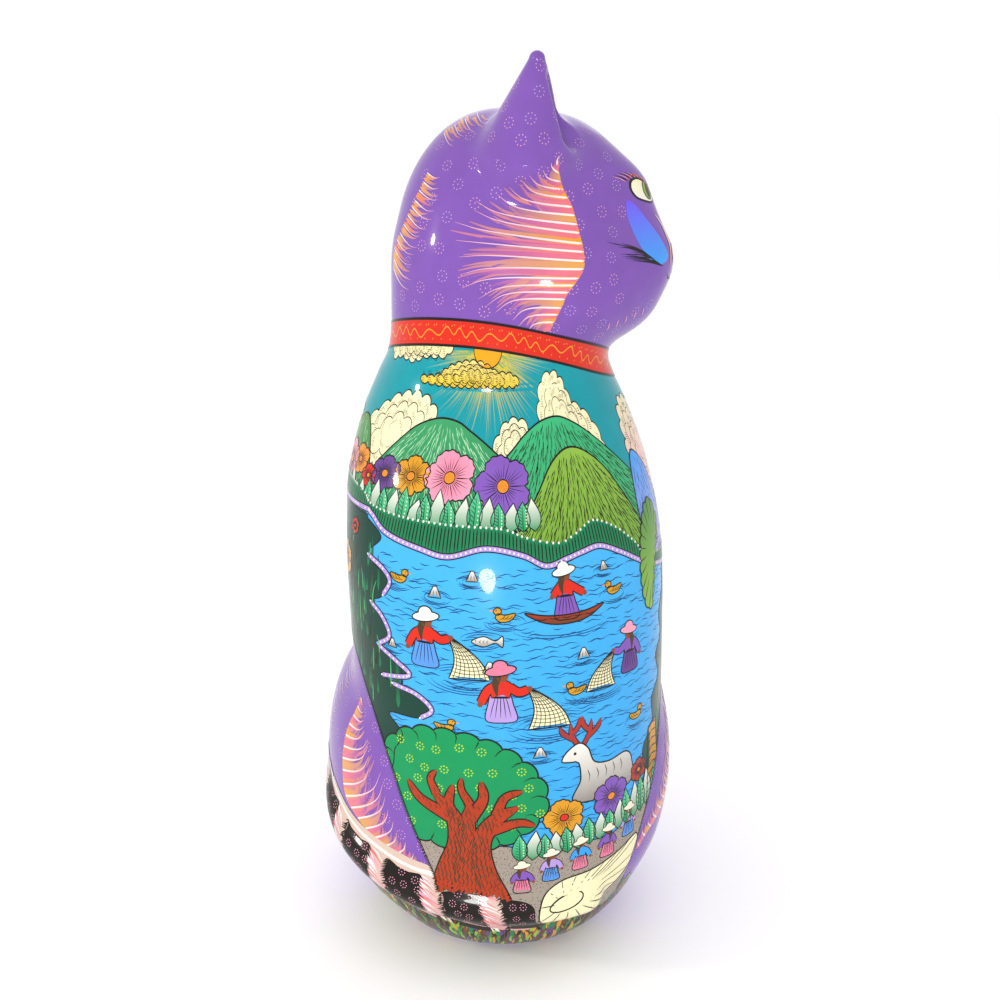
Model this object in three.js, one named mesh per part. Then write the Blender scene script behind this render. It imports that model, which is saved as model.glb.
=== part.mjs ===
// A seated cat that looks back over its right shoulder, cast in one hollow piece.
// Millimetres, +Z up, the cat faces -Y, its own left is +X, the floor is z = 0.
//
// The form is one smooth field: negative inside the cat, positive outside, zero on its skin.
// Rounded masses are blended into that field, and its zero surface is then meshed.
import * as THREE from 'three';

const HEIGHT = 421; // floor to ear tips
const BODY_WIDTH = 154; // across the ribs
const BODY_DEPTH = 140; // breast to back
const HAUNCH_WIDTH = 176; // across both thighs
const FORELEG_REACH = 92; // how far the front paws stand ahead of the middle
const NECK_WIDTH = 102;
const HEAD_LENGTH = 125; // back of the skull to the nose
const HEAD_WIDTH = 106; // cheek to cheek
const HEAD_TURN = 107; // degrees from straight ahead, towards the cat's right
const EAR_LENGTH = 52;
const TAIL_WIDTH = 22;
const TAIL_RISE = 24; // from the middle of the back to the side of the thigh
const EDGE_RADIUS = 4; // round between the underside and the sides

// Grid steps of the mesh: sideways, then in height. The grid is finest where the forms are small.
const TORSO_GRID = [10.4, 8.8];
const HEAD_GRID = [5.8, 5.8];
const EAR_GRID = [4.0, 4.2];
const BASE_LAYER = 5.6;

const headHeight = 0.29 * HEIGHT;
const headMiddle = 0.813 * HEIGHT;
const neckHeight = 0.69 * HEIGHT;

// Each row: height, half width, half depth, forward or backward shift of the middle.
const torsoRows = [
  [-0.05, 0.52, 0.55, -0.030],
  [0, 0.645, 0.69, -0.030],
  [0.022, 0.755, 0.86, -0.015],
  [0.06, 0.90, 0.97, 0.005],
  [0.12, 1.01, 1.03, 0.035],
  [0.24, 0.985, 0.99, 0.070],
  [0.36, 0.985, 0.98, 0.065],
  [0.48, 0.985, 0.96, 0.025],
  [0.56, 0.925, 0.90, -0.035],
  [0.62, 0.83, 0.81, -0.085],
  [0.66, 0.73, 0.76, -0.100],
];

// The same kind of row for the neck, as shares of the neck's own width.
const neckRows = [
  [0.69, 1.00, 1.00, -0.110],
  [0.74, 0.96, 0.96, -0.100],
  [0.80, 0.90, 0.90, -0.100],
  [0.90, 0.78, 0.78, -0.100],
];

const bodyStations = [
  ...torsoRows.map(([h, w, d, shift]) => [
    h * HEIGHT, w * BODY_WIDTH / 2, d * BODY_DEPTH / 2, shift * BODY_DEPTH,
  ]),
  ...neckRows.map(([h, w, d, shift]) => [
    h * HEIGHT, w * NECK_WIDTH / 2, d * NECK_WIDTH / 2, shift * NECK_WIDTH,
  ]),
];

// Value and slope carried smoothly from one station to the next.
function alongStations(stations, height, column) {
  const last = stations.length - 1;
  const z = Math.min(Math.max(height, stations[0][0]), stations[last][0]);
  let i = 0;
  while (i < last - 1 && z > stations[i + 1][0]) i += 1;
  const slope = (n) => {
    const before = stations[Math.max(n - 1, 0)];
    const after = stations[Math.min(n + 1, last)];
    return (after[column] - before[column]) / (after[0] - before[0]);
  };
  const [from, to] = [stations[i], stations[i + 1]];
  const step = to[0] - from[0];
  const t = (z - from[0]) / step;
  const rise = t * t * (3 - 2 * t);
  return from[column] * (1 - rise) + to[column] * rise
    + step * slope(i) * t * (1 - t) ** 2 - step * slope(i + 1) * t * t * (1 - t);
}

// Union of two fields with a soft crease as wide as reach.
function blend(a, b, reach) {
  const near = Math.max(reach - Math.abs(a - b), 0) / reach;
  return Math.min(a, b) - near ** 3 * reach / 6;
}

// The part of field a that lies outside field b, with a soft edge.
function cutAway(a, b, reach) {
  return -blend(-a, b, reach);
}

function ellipsoid(x, y, z, [cx, cy, cz], [rx, ry, rz]) {
  const [ux, uy, uz] = [(x - cx) / rx, (y - cy) / ry, (z - cz) / rz];
  const size = Math.hypot(ux, uy, uz);
  const steepness = Math.hypot(ux / rx, uy / ry, uz / rz);
  return size * (size - 1) / Math.max(steepness, 1e-6);
}

// A rounded bar from one ball to another, its thickness changing evenly between them.
function bar(x, y, z, from, to, fromRadius, toRadius) {
  const along = to.map((value, n) => value - from[n]);
  const offset = [x - from[0], y - from[1], z - from[2]];
  const lengthSquared = along.reduce((sum, value) => sum + value * value, 0);
  const dot = offset.reduce((sum, value, n) => sum + value * along[n], 0);
  const t = Math.min(Math.max(dot / lengthSquared, 0), 1);
  const gap = Math.hypot(...offset.map((value, n) => value - t * along[n]));
  return gap - (fromRadius + t * (toRadius - fromRadius));
}

function body(x, y, z) {
  const a = alongStations(bodyStations, z, 1);
  const b = alongStations(bodyStations, z, 2);
  const shift = alongStations(bodyStations, z, 3);
  const [ux, uy] = [x / a, (y - shift) / b];
  const size = Math.hypot(ux, uy);
  const steepness = Math.hypot(ux / a, uy / b);
  const side = size * (size - 1) / Math.max(steepness, 1e-6);
  return cutAway(side, headMiddle - z, 20);
}

// Thigh and hind foot of one side. side is +1 for the cat's left.
function hindLeg(x, y, z, side) {
  const sx = x * side;
  const haunchHalf = HAUNCH_WIDTH / 2;
  const thigh = ellipsoid(
    sx, y, z,
    [0.52 * haunchHalf, -0.065 * BODY_DEPTH, 0.194 * HEIGHT],
    [0.47 * haunchHalf, 0.47 * BODY_DEPTH, 0.180 * HEIGHT],
  );
  const foot = bar(
    sx, y, z,
    [0.49 * haunchHalf, -0.12 * BODY_DEPTH, 0.056 * HEIGHT],
    [0.56 * haunchHalf, -0.50 * BODY_DEPTH, 0.035 * HEIGHT],
    0.054 * HEIGHT,
    0.039 * HEIGHT,
  );
  return blend(thigh, foot, 10);
}

// Foreleg and front paw of one side.
function foreleg(x, y, z, side) {
  const sx = x * side;
  const leg = bar(
    sx, y, z,
    [0.36 * BODY_WIDTH / 2, -0.22 * BODY_DEPTH, 0.52 * HEIGHT],
    [0.26 * BODY_WIDTH / 2, -0.86 * FORELEG_REACH, 0.070 * HEIGHT],
    0.092 * HEIGHT,
    0.041 * HEIGHT,
  );
  const paw = ellipsoid(
    sx, y, z,
    [0.27 * BODY_WIDTH / 2, -1.02 * FORELEG_REACH, 0.032 * HEIGHT],
    [0.235 * BODY_WIDTH / 2, 0.29 * FORELEG_REACH, 0.041 * HEIGHT],
  );
  return blend(leg, paw, 14);
}

// The tail lies against the cat's left side, from the middle of the back round to the left foot.
function tail(x, y, z) {
  const turn = Math.atan2(x, y);
  const [start, end] = [-0.28, 2.25];
  const past = Math.max(start - turn, turn - end, 0);
  const [sideways, back] = [0.452 * HAUNCH_WIDTH, 0.49 * BODY_DEPTH];
  const ring = 1 / Math.hypot(Math.sin(turn) / sideways, Math.cos(turn) / back);
  const share = THREE.MathUtils.clamp(turn / (Math.PI / 2), 0, 1.15);
  const middle = 0.095 * HEIGHT + TAIL_RISE * share ** 2;
  return Math.hypot(Math.hypot(x, y) - ring, z - middle, past * ring) - TAIL_WIDTH / 2;
}

// Head coordinates: ahead of the neck, towards the left of the head, height.
const turnAngle = HEAD_TURN * Math.PI / 180;
const neckShift = -0.10 * NECK_WIDTH;
const ahead = [-Math.sin(turnAngle), -Math.cos(turnAngle)];

function head(x, y, z) {
  const f = x * ahead[0] + (y - neckShift) * ahead[1];
  const s = Math.abs(x * -ahead[1] + (y - neckShift) * ahead[0]);
  const up = z - headMiddle;
  const [l, w, h] = [HEAD_LENGTH, HEAD_WIDTH / 2, headHeight];
  const skull = ellipsoid(f, s, up, [0, 0, -0.08 * h], [0.378 * l, 0.92 * w, 0.53 * h]);
  const brow = ellipsoid(f, s, up, [0.18 * l, 0, 0.085 * h], [0.31 * l, 0.76 * w, 0.35 * h]);
  const cheek = ellipsoid(f, s, up, [0.22 * l, 0, -0.15 * h], [0.34 * l, w, 0.30 * h]);
  const bridge = bar(f, s, up, [0.42 * l, 0, 0.11 * h], [0.52 * l, 0, -0.07 * h], 0.14 * h, 0.115 * h);
  const muzzle = ellipsoid(f, s, up, [0.43 * l, 0, -0.13 * h], [0.20 * l, 0.50 * w, 0.17 * h]);
  const chin = ellipsoid(f, s, up, [0.385 * l, 0, -0.23 * h], [0.20 * l, 0.44 * w, 0.135 * h]);
  const face = blend(blend(skull, brow, 16), cheek, 20);
  const mouth = blend(blend(muzzle, chin, 8), bridge, 14);
  return blend(blend(face, mouth, 22), ear(f, s, up), 12);
}

// A cone, a little wider than deep, with a shallow scoop in its forward side.
function ear(f, s, up) {
  const [l, w, h] = [HEAD_LENGTH, HEAD_WIDTH / 2, headHeight];
  const top = HEIGHT - headMiddle - 0.035 * h;
  const root = [0.115 * l, 0.52 * w, top - 0.72 * EAR_LENGTH];
  const tip = [0.145 * l, 0.68 * w, top];
  const narrowed = root[1] + 0.84 * (s - root[1]);
  const outside = bar(f, narrowed, up, root, tip, 0.43 * EAR_LENGTH, 0.075 * EAR_LENGTH);
  const scoop = bar(
    f, narrowed, up,
    [root[0] + 0.37 * EAR_LENGTH, root[1] + 0.03 * EAR_LENGTH, top - 0.52 * EAR_LENGTH],
    [tip[0] + 0.13 * EAR_LENGTH, tip[1], top - 0.14 * EAR_LENGTH],
    0.21 * EAR_LENGTH,
    0.05 * EAR_LENGTH,
  );
  return cutAway(outside, scoop, 4);
}

// Clay that fills the hollow between the forelegs and, lower down, between all four feet.
function web(x, y, z) {
  const betweenLegs = bar(
    x, y, z,
    [0, -0.20 * BODY_DEPTH, 0.46 * HEIGHT],
    [0, -0.74 * FORELEG_REACH, 0.020 * HEIGHT],
    0.075 * HEIGHT,
    0.040 * HEIGHT,
  );
  const betweenFeet = ellipsoid(
    x, y, z,
    [0, -0.34 * BODY_DEPTH, 0.015 * HEIGHT],
    [0.74 * BODY_WIDTH / 2, 0.30 * BODY_DEPTH, 0.090 * HEIGHT],
  );
  return blend(betweenLegs, betweenFeet, 8);
}

function field(x, y, z) {
  let skin = blend(body(x, y, z), web(x, y, z), 16);
  for (const side of [1, -1]) {
    skin = blend(skin, foreleg(x, y, z, side), 22);
    skin = blend(skin, hindLeg(x, y, z, side), 9);
  }
  skin = blend(skin, tail(x, y, z), 5);
  skin = blend(skin, head(x, y, z), 14);
  return cutAway(skin, z, EDGE_RADIUS);
}

// How far a height is into the head and into the ears, each from 0 to 1.
function intoHead(z) {
  const skullTop = headMiddle + 0.40 * headHeight;
  return [
    THREE.MathUtils.smoothstep(z, neckHeight - 22, neckHeight + 12),
    THREE.MathUtils.smoothstep(z, skullTop - 12, skullTop + 8),
  ];
}

function gridStep(z, n) {
  const [inHead, inEars] = intoHead(z);
  const { lerp } = THREE.MathUtils;
  return lerp(lerp(TORSO_GRID[n], HEAD_GRID[n], inHead), EAR_GRID[n], inEars);
}

const gridHeights = [-0.6 * BASE_LAYER];
while (gridHeights.at(-1) < HEIGHT + EAR_GRID[1]) {
  const z = gridHeights.at(-1);
  const low = THREE.MathUtils.smoothstep(z, 0.12 * HEIGHT, 0.18 * HEIGHT);
  gridHeights.push(z + THREE.MathUtils.lerp(BASE_LAYER, gridStep(z, 1), low));
}

// Grid point for whole-number steps, shifted a little so that no grid line lies on a middle plane.
function gridPoint(i, j, k) {
  const z = gridHeights[k];
  const cell = gridStep(z, 0);
  return [(i + 0.31) * cell, (j + 0.43) * cell, z];
}

// The nearest point of the skin, by repeated straight steps down the slope of the field.
function ontoSkin(point) {
  const reach = 0.05;
  let [x, y, z] = point;
  for (let step = 0; step < 5; step += 1) {
    const slope = [
      (field(x + reach, y, z) - field(x - reach, y, z)) / (2 * reach),
      (field(x, y + reach, z) - field(x, y - reach, z)) / (2 * reach),
      (field(x, y, z + reach) - field(x, y, z - reach)) / (2 * reach),
    ];
    const steep = slope.reduce((sum, value) => sum + value * value, 0);
    const move = THREE.MathUtils.clamp(field(x, y, z) / Math.max(steep, 0.05), -1.5, 1.5);
    x -= move * slope[0];
    y -= move * slope[1];
    z -= move * slope[2];
  }
  return [x, y, z];
}

// Corners of a grid cell as bits: 1 for a step in x, 2 for a step in y, 4 for a step in z.
const axisBits = [1, 2, 4];
const cellCorners = [0, 1, 2, 3, 4, 5, 6, 7];
const cellEdges = axisBits.flatMap((bit) => (
  cellCorners.filter((corner) => !(corner & bit)).map((corner) => [corner, corner | bit])
));
const cellFaces = axisBits.flatMap((bit) => [0, bit].map((half) => (
  cellEdges.flatMap(([a, b], n) => ((a & bit) === half && (b & bit) === half ? [n] : []))
)));
const edgeNumber = (corner, bit) => cellEdges.findIndex(([a, b]) => a === corner && b === (corner | bit));

// Cut edges of one cell in groups, each group round one separate patch of the skin.
function patchesOfCell(inside) {
  const group = cellEdges.map((_, n) => n);
  const join = (a, b) => {
    const [from, to] = [group[a], group[b]];
    group.forEach((value, n) => { if (value === from) group[n] = to; });
  };
  const isCut = (n) => inside[cellEdges[n][0]] !== inside[cellEdges[n][1]];
  for (const face of cellFaces) {
    const cut = face.filter(isCut);
    if (cut.length === 2) join(cut[0], cut[1]);
    if (cut.length < 4) continue;
    for (const corner of cellCorners.filter((c) => inside[c])) {
      const [first, second] = cut.filter((n) => cellEdges[n].includes(corner));
      if (second !== undefined) join(first, second);
    }
  }
  const patches = new Map();
  for (const n of cellEdges.keys()) {
    if (!isCut(n)) continue;
    if (!patches.has(group[n])) patches.set(group[n], []);
    patches.get(group[n]).push(n);
  }
  return [...patches.values()];
}

// One vertex for each patch of skin in a grid cell, one face across each cut grid edge.
function meshSkin() {
  const reach = Math.ceil(0.8 * HEAD_LENGTH / HEAD_GRID[0]);
  const side = 2 * reach + 1;
  const at = (i, j, k) => (k * side + j) * side + i;
  const points = [];
  for (let k = 0; k < gridHeights.length; k += 1) {
    for (let j = -reach; j <= reach; j += 1) {
      for (let i = -reach; i <= reach; i += 1) points.push(gridPoint(i, j, k));
    }
  }
  const values = points.map((point) => field(...point));
  const cornerStep = cellCorners.map((c) => at(c & 1, (c >> 1) & 1, c >> 2));

  const vertices = [];
  const vertexOfEdge = new Map();
  for (let cell = 0; cell + cornerStep[7] < points.length; cell += 1) {
    const ids = cornerStep.map((step) => cell + step);
    const inside = ids.map((id) => values[id] < 0);
    if (inside.every((value) => value === inside[0])) continue;
    for (const patch of patchesOfCell(inside)) {
      const sum = new THREE.Vector3();
      for (const n of patch) {
        const [a, b] = cellEdges[n].map((corner) => ids[corner]);
        const cut = values[a] / (values[a] - values[b]);
        sum.add(new THREE.Vector3(...points[a]).lerp(new THREE.Vector3(...points[b]), cut));
        vertexOfEdge.set(cell * cellEdges.length + n, vertices.length);
      }
      vertices.push(ontoSkin(sum.divideScalar(patch.length).toArray()));
    }
  }

  const faces = [];
  const gap = (a, b) => Math.hypot(...vertices[a].map((value, n) => value - vertices[b][n]));
  for (let id = 0; id < points.length; id += 1) {
    for (let axis = 0; axis < 3; axis += 1) {
      const [bit, uBit, vBit] = [0, 1, 2].map((n) => axisBits[(axis + n) % 3]);
      const inside = values[id] < 0;
      if (inside === (values[id + cornerStep[bit]] < 0)) continue;
      const ring = [0, uBit, uBit | vBit, vBit].map((corner) => (
        vertexOfEdge.get((id - cornerStep[corner]) * cellEdges.length + edgeNumber(corner, bit))
      ));
      if (!inside) ring.reverse();
      const [a, b, c, d] = ring;
      if (gap(a, c) < gap(b, d)) faces.push(a, b, c, a, c, d);
      else faces.push(b, c, d, b, d, a);
    }
  }
  const geometry = new THREE.BufferGeometry();
  geometry.setAttribute('position', new THREE.Float32BufferAttribute(vertices.flat(), 3));
  geometry.setIndex(faces);
  geometry.computeVertexNormals();
  return geometry;
}

const cat = new THREE.Mesh(meshSkin(), new THREE.MeshStandardMaterial({ color: 0x8158b0 }));
cat.name = 'cat';

const figure = new THREE.Group();
figure.add(cat);

export default figure;
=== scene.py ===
"""A glazed ceramic cat with a hand-painted landscape on its back.

Lengths are millimetres until a mesh is made. +Z is up, the cat faces -Y, its nose points to -X.
The paint is thin glaze: flat shapes, each drawn in two coordinates and then laid on the skin.
"""
import math

import bpy
import numpy as np
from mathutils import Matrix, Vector
from mathutils.geometry import delaunay_2d_cdt


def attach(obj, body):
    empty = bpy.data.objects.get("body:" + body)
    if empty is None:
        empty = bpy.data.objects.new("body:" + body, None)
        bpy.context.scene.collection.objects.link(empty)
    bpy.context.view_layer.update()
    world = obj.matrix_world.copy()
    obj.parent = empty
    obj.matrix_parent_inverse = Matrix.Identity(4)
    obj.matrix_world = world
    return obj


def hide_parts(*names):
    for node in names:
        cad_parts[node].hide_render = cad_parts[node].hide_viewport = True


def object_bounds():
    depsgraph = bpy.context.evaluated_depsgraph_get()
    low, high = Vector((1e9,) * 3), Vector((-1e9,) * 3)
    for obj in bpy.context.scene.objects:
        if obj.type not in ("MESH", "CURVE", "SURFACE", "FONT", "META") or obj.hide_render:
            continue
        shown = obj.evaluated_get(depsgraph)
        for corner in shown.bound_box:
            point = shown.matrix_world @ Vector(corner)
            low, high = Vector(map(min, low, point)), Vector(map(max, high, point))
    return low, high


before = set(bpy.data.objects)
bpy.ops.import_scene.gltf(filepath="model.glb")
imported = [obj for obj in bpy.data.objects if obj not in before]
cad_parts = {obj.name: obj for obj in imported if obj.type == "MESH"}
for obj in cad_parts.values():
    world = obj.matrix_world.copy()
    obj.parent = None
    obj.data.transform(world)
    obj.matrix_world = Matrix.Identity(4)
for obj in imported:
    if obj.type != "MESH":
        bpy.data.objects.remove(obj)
cad_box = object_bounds()

MM = 0.001
CAD_LOW, CAD_HIGH = (np.array(corner) / MM for corner in cad_box)

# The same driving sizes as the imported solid.
HEIGHT = 421
BODY_WIDTH = 154
BODY_DEPTH = 140
HAUNCH_WIDTH = 176
FORELEG_REACH = 92
NECK_WIDTH = 102
HEAD_LENGTH = 125
HEAD_WIDTH = 106
HEAD_TURN = math.radians(107)
EAR_LENGTH = 52
TAIL_WIDTH = 22
TAIL_RISE = 24
TAIL_START, TAIL_END = -0.28, 2.25
EDGE_RADIUS = 4

SKIN_DEPTH = 0.50  # the bare skin lies this far inside the solid, to leave room for the paint
LAYER = 0.024  # thickness of one layer of paint

HEAD_HEIGHT = 0.29 * HEIGHT
HEAD_MIDDLE = 0.813 * HEIGHT
NECK_SHIFT = -0.10 * NECK_WIDTH
AHEAD = np.array([-math.sin(HEAD_TURN), -math.cos(HEAD_TURN)])
LEFTWARD = np.array([-AHEAD[1], AHEAD[0]])

# Each row: height, half width, half depth, forward or backward shift of the middle.
TORSO_ROWS = [
    (-0.05, 0.52, 0.55, -0.030), (0, 0.645, 0.69, -0.030), (0.022, 0.755, 0.86, -0.015),
    (0.06, 0.90, 0.97, 0.005), (0.12, 1.01, 1.03, 0.035), (0.24, 0.985, 0.99, 0.070),
    (0.36, 0.985, 0.98, 0.065), (0.48, 0.985, 0.96, 0.025), (0.56, 0.925, 0.90, -0.035),
    (0.62, 0.83, 0.81, -0.085), (0.66, 0.73, 0.76, -0.100),
]
NECK_ROWS = [
    (0.69, 1.00, 1.00, -0.110), (0.74, 0.96, 0.96, -0.100),
    (0.80, 0.90, 0.90, -0.100), (0.90, 0.78, 0.78, -0.100),
]
STATIONS = np.array(
    [(h * HEIGHT, w * BODY_WIDTH / 2, d * BODY_DEPTH / 2, s * BODY_DEPTH) for h, w, d, s in TORSO_ROWS]
    + [(h * HEIGHT, w * NECK_WIDTH / 2, d * NECK_WIDTH / 2, s * NECK_WIDTH) for h, w, d, s in NECK_ROWS]
)


# Form of the cat: a field that is negative inside, zero on the skin and positive outside.

def along_stations(z, column):
    heights, values = STATIONS[:, 0], STATIONS[:, column]
    order = np.arange(len(heights))
    before, after = np.maximum(order - 1, 0), np.minimum(order + 1, len(heights) - 1)
    slopes = (values[after] - values[before]) / (heights[after] - heights[before])
    z = np.clip(z, heights[0], heights[-1])
    i = np.clip(np.searchsorted(heights, z) - 1, 0, len(heights) - 2)
    step = heights[i + 1] - heights[i]
    t = (z - heights[i]) / step
    rise = t * t * (3 - 2 * t)
    bow = step * t * (1 - t) * (slopes[i] * (1 - t) - slopes[i + 1] * t)
    return values[i] * (1 - rise) + values[i + 1] * rise + bow


def blend(a, b, reach):
    near = np.maximum(reach - np.abs(a - b), 0) / reach
    return np.minimum(a, b) - near ** 3 * reach / 6


def cut_away(a, b, reach):
    return -blend(-a, b, reach)


def length(*parts):
    return np.sqrt(sum(part * part for part in parts))


def ellipsoid(place, middle, radii):
    u = [(p - m) / r for p, m, r in zip(place, middle, radii)]
    size = length(*u)
    steepness = length(*[part / r for part, r in zip(u, radii)])
    return size * (size - 1) / np.maximum(steepness, 1e-6)


def bar(place, start, end, start_radius, end_radius):
    along = np.subtract(end, start)
    offset = [p - s for p, s in zip(place, start)]
    t = np.clip(sum(o * a for o, a in zip(offset, along)) / (along @ along), 0, 1)
    gap = length(*[o - t * a for o, a in zip(offset, along)])
    return gap - (start_radius + t * (end_radius - start_radius))


def body(x, y, z):
    a, b, shift = (along_stations(z, column) for column in (1, 2, 3))
    return cut_away(ellipsoid((x, y - shift), (0, 0), (a, b)), HEAD_MIDDLE - z, 20)


def hind_leg(x, y, z, side):
    half = HAUNCH_WIDTH / 2
    thigh = ellipsoid(
        (x * side, y, z),
        (0.52 * half, -0.065 * BODY_DEPTH, 0.194 * HEIGHT),
        (0.47 * half, 0.47 * BODY_DEPTH, 0.180 * HEIGHT),
    )
    foot = bar(
        (x * side, y, z),
        (0.49 * half, -0.12 * BODY_DEPTH, 0.056 * HEIGHT),
        (0.56 * half, -0.50 * BODY_DEPTH, 0.035 * HEIGHT),
        0.054 * HEIGHT,
        0.039 * HEIGHT,
    )
    return blend(thigh, foot, 10)


def foreleg(x, y, z, side):
    half = BODY_WIDTH / 2
    leg = bar(
        (x * side, y, z),
        (0.36 * half, -0.22 * BODY_DEPTH, 0.52 * HEIGHT),
        (0.26 * half, -0.86 * FORELEG_REACH, 0.070 * HEIGHT),
        0.092 * HEIGHT,
        0.041 * HEIGHT,
    )
    paw = ellipsoid(
        (x * side, y, z),
        (0.27 * half, -1.02 * FORELEG_REACH, 0.032 * HEIGHT),
        (0.235 * half, 0.29 * FORELEG_REACH, 0.041 * HEIGHT),
    )
    return blend(leg, paw, 14)


def tail_ring(turn):
    """Distance of the tail's middle line from the z axis, and its height."""
    sideways, back = 0.452 * HAUNCH_WIDTH, 0.49 * BODY_DEPTH
    ring = 1 / np.hypot(np.sin(turn) / sideways, np.cos(turn) / back)
    share = np.clip(turn / (math.pi / 2), 0, 1.15)
    return ring, 0.095 * HEIGHT + TAIL_RISE * share ** 2


def tail(x, y, z):
    turn = np.arctan2(x, y)
    past = np.maximum(np.maximum(TAIL_START - turn, turn - TAIL_END), 0)
    ring, middle = tail_ring(turn)
    return length(np.hypot(x, y) - ring, z - middle, past * ring) - TAIL_WIDTH / 2


def head_axes(x, y, z):
    """Place along the head, towards its left, and above its middle."""
    back = y - NECK_SHIFT
    return x * AHEAD[0] + back * AHEAD[1], x * LEFTWARD[0] + back * LEFTWARD[1], z - HEAD_MIDDLE


def head(x, y, z):
    f, s, up = head_axes(x, y, z)
    place = (f, np.abs(s), up)
    l, w, h = HEAD_LENGTH, HEAD_WIDTH / 2, HEAD_HEIGHT
    skull = ellipsoid(place, (0, 0, -0.08 * h), (0.378 * l, 0.92 * w, 0.53 * h))
    brow = ellipsoid(place, (0.18 * l, 0, 0.085 * h), (0.31 * l, 0.76 * w, 0.35 * h))
    cheek = ellipsoid(place, (0.22 * l, 0, -0.15 * h), (0.34 * l, w, 0.30 * h))
    bridge = bar(place, (0.42 * l, 0, 0.11 * h), (0.52 * l, 0, -0.07 * h), 0.14 * h, 0.115 * h)
    muzzle = ellipsoid(place, (0.43 * l, 0, -0.13 * h), (0.20 * l, 0.50 * w, 0.17 * h))
    chin = ellipsoid(place, (0.385 * l, 0, -0.23 * h), (0.20 * l, 0.44 * w, 0.135 * h))
    face = blend(blend(skull, brow, 16), cheek, 20)
    mouth = blend(blend(muzzle, chin, 8), bridge, 14)
    return blend(blend(face, mouth, 22), ear(*place), 12)


def ear(f, s, up):
    l, w, h = HEAD_LENGTH, HEAD_WIDTH / 2, HEAD_HEIGHT
    top = HEIGHT - HEAD_MIDDLE - 0.035 * h
    root = (0.115 * l, 0.52 * w, top - 0.72 * EAR_LENGTH)
    tip = (0.145 * l, 0.68 * w, top)
    narrowed = root[1] + 0.84 * (s - root[1])
    outside = bar((f, narrowed, up), root, tip, 0.43 * EAR_LENGTH, 0.075 * EAR_LENGTH)
    scoop = bar(
        (f, narrowed, up),
        (root[0] + 0.37 * EAR_LENGTH, root[1] + 0.03 * EAR_LENGTH, top - 0.52 * EAR_LENGTH),
        (tip[0] + 0.13 * EAR_LENGTH, tip[1], top - 0.14 * EAR_LENGTH),
        0.21 * EAR_LENGTH,
        0.05 * EAR_LENGTH,
    )
    return cut_away(outside, scoop, 4)


def web(x, y, z):
    between_legs = bar(
        (x, y, z),
        (0, -0.20 * BODY_DEPTH, 0.46 * HEIGHT),
        (0, -0.74 * FORELEG_REACH, 0.020 * HEIGHT),
        0.075 * HEIGHT,
        0.040 * HEIGHT,
    )
    between_feet = ellipsoid(
        (x, y, z),
        (0, -0.34 * BODY_DEPTH, 0.015 * HEIGHT),
        (0.74 * BODY_WIDTH / 2, 0.30 * BODY_DEPTH, 0.090 * HEIGHT),
    )
    return blend(between_legs, between_feet, 8)


def field(points):
    x, y, z = points.T
    skin = blend(body(x, y, z), web(x, y, z), 16)
    for side in (1, -1):
        skin = blend(skin, foreleg(x, y, z, side), 22)
        skin = blend(skin, hind_leg(x, y, z, side), 9)
    skin = blend(skin, tail(x, y, z), 5)
    skin = blend(skin, head(x, y, z), 14)
    return cut_away(skin, z, EDGE_RADIUS)


TETRAHEDRON = np.array([(1, -1, -1), (-1, -1, 1), (-1, 1, -1), (1, 1, 1)])


def slope(points, reach=0.05):
    return sum(
        field(points + reach * corner)[:, None] * corner for corner in TETRAHEDRON
    ) / (4 * reach)


FLATTEST = 0.05  # least squared slope that a move is worked out with
LONGEST_MOVE = 1.5


def settle(points, rounds=3):
    """Points moved straight onto the skin, and the skin's outward direction there."""
    for _ in range(rounds):
        steep = slope(points)
        share = field(points) / np.maximum((steep * steep).sum(1), FLATTEST)
        points = points - np.clip(share, -LONGEST_MOVE, LONGEST_MOVE)[:, None] * steep
    steep = slope(points)
    return points, steep / np.linalg.norm(steep, axis=1)[:, None]


SAFE_STRIDE = 0.8  # share of the field's value that a ray steps, so that it doesn't pass the skin
ARRIVED, LOST = 0.04, 150  # a ray stops this near to the skin, or this far off it
MISS = 0.6  # a ray that stopped farther off than this has missed the cat


def first_hit(starts, rays, steps=60):
    """Where each ray from outside first meets the skin, and whether it does."""
    points = starts.copy()
    left = np.arange(len(points))
    for _ in range(steps):
        gap = field(points[left])
        points[left] += rays[left] * SAFE_STRIDE * gap[:, None]
        left = left[(gap > ARRIVED) & (gap < LOST)]
        if not len(left):
            break
    return points, np.abs(field(points)) < MISS


# Ways to lay a flat drawing on the cat. Each turns flat points into rays from outside.

WRAP_RADIUS = 80
FAR = 170


def round_body(flat):
    """Around the upright axis from the middle of the back, towards the cat's right, and height."""
    turn = flat[:, 0] / WRAP_RADIUS
    outward = np.stack([-np.sin(turn), np.cos(turn), np.zeros(len(turn))], 1)
    starts = outward * FAR
    starts[:, 2] = flat[:, 1]
    return starts, -outward


def collar_height(turn):
    """Upper edge of the collar, which dips towards the throat under the turned chin."""
    return 0.703 * HEIGHT + 9.5 * (np.cos(turn) - np.sin(turn))


def round_neck(flat):
    """Around the upright axis, and down from the upper edge of the collar."""
    below = flat.copy()
    below[:, 1] = collar_height(flat[:, 0] / WRAP_RADIUS) - flat[:, 1]
    return round_body(below)


def head_rays(ahead, left, up, toward):
    start = np.stack([
        ahead * AHEAD[0] + left * LEFTWARD[0],
        NECK_SHIFT + ahead * AHEAD[1] + left * LEFTWARD[1],
        HEAD_MIDDLE + up,
    ], 1)
    return start, np.broadcast_to([*toward, 0], start.shape)


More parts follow.
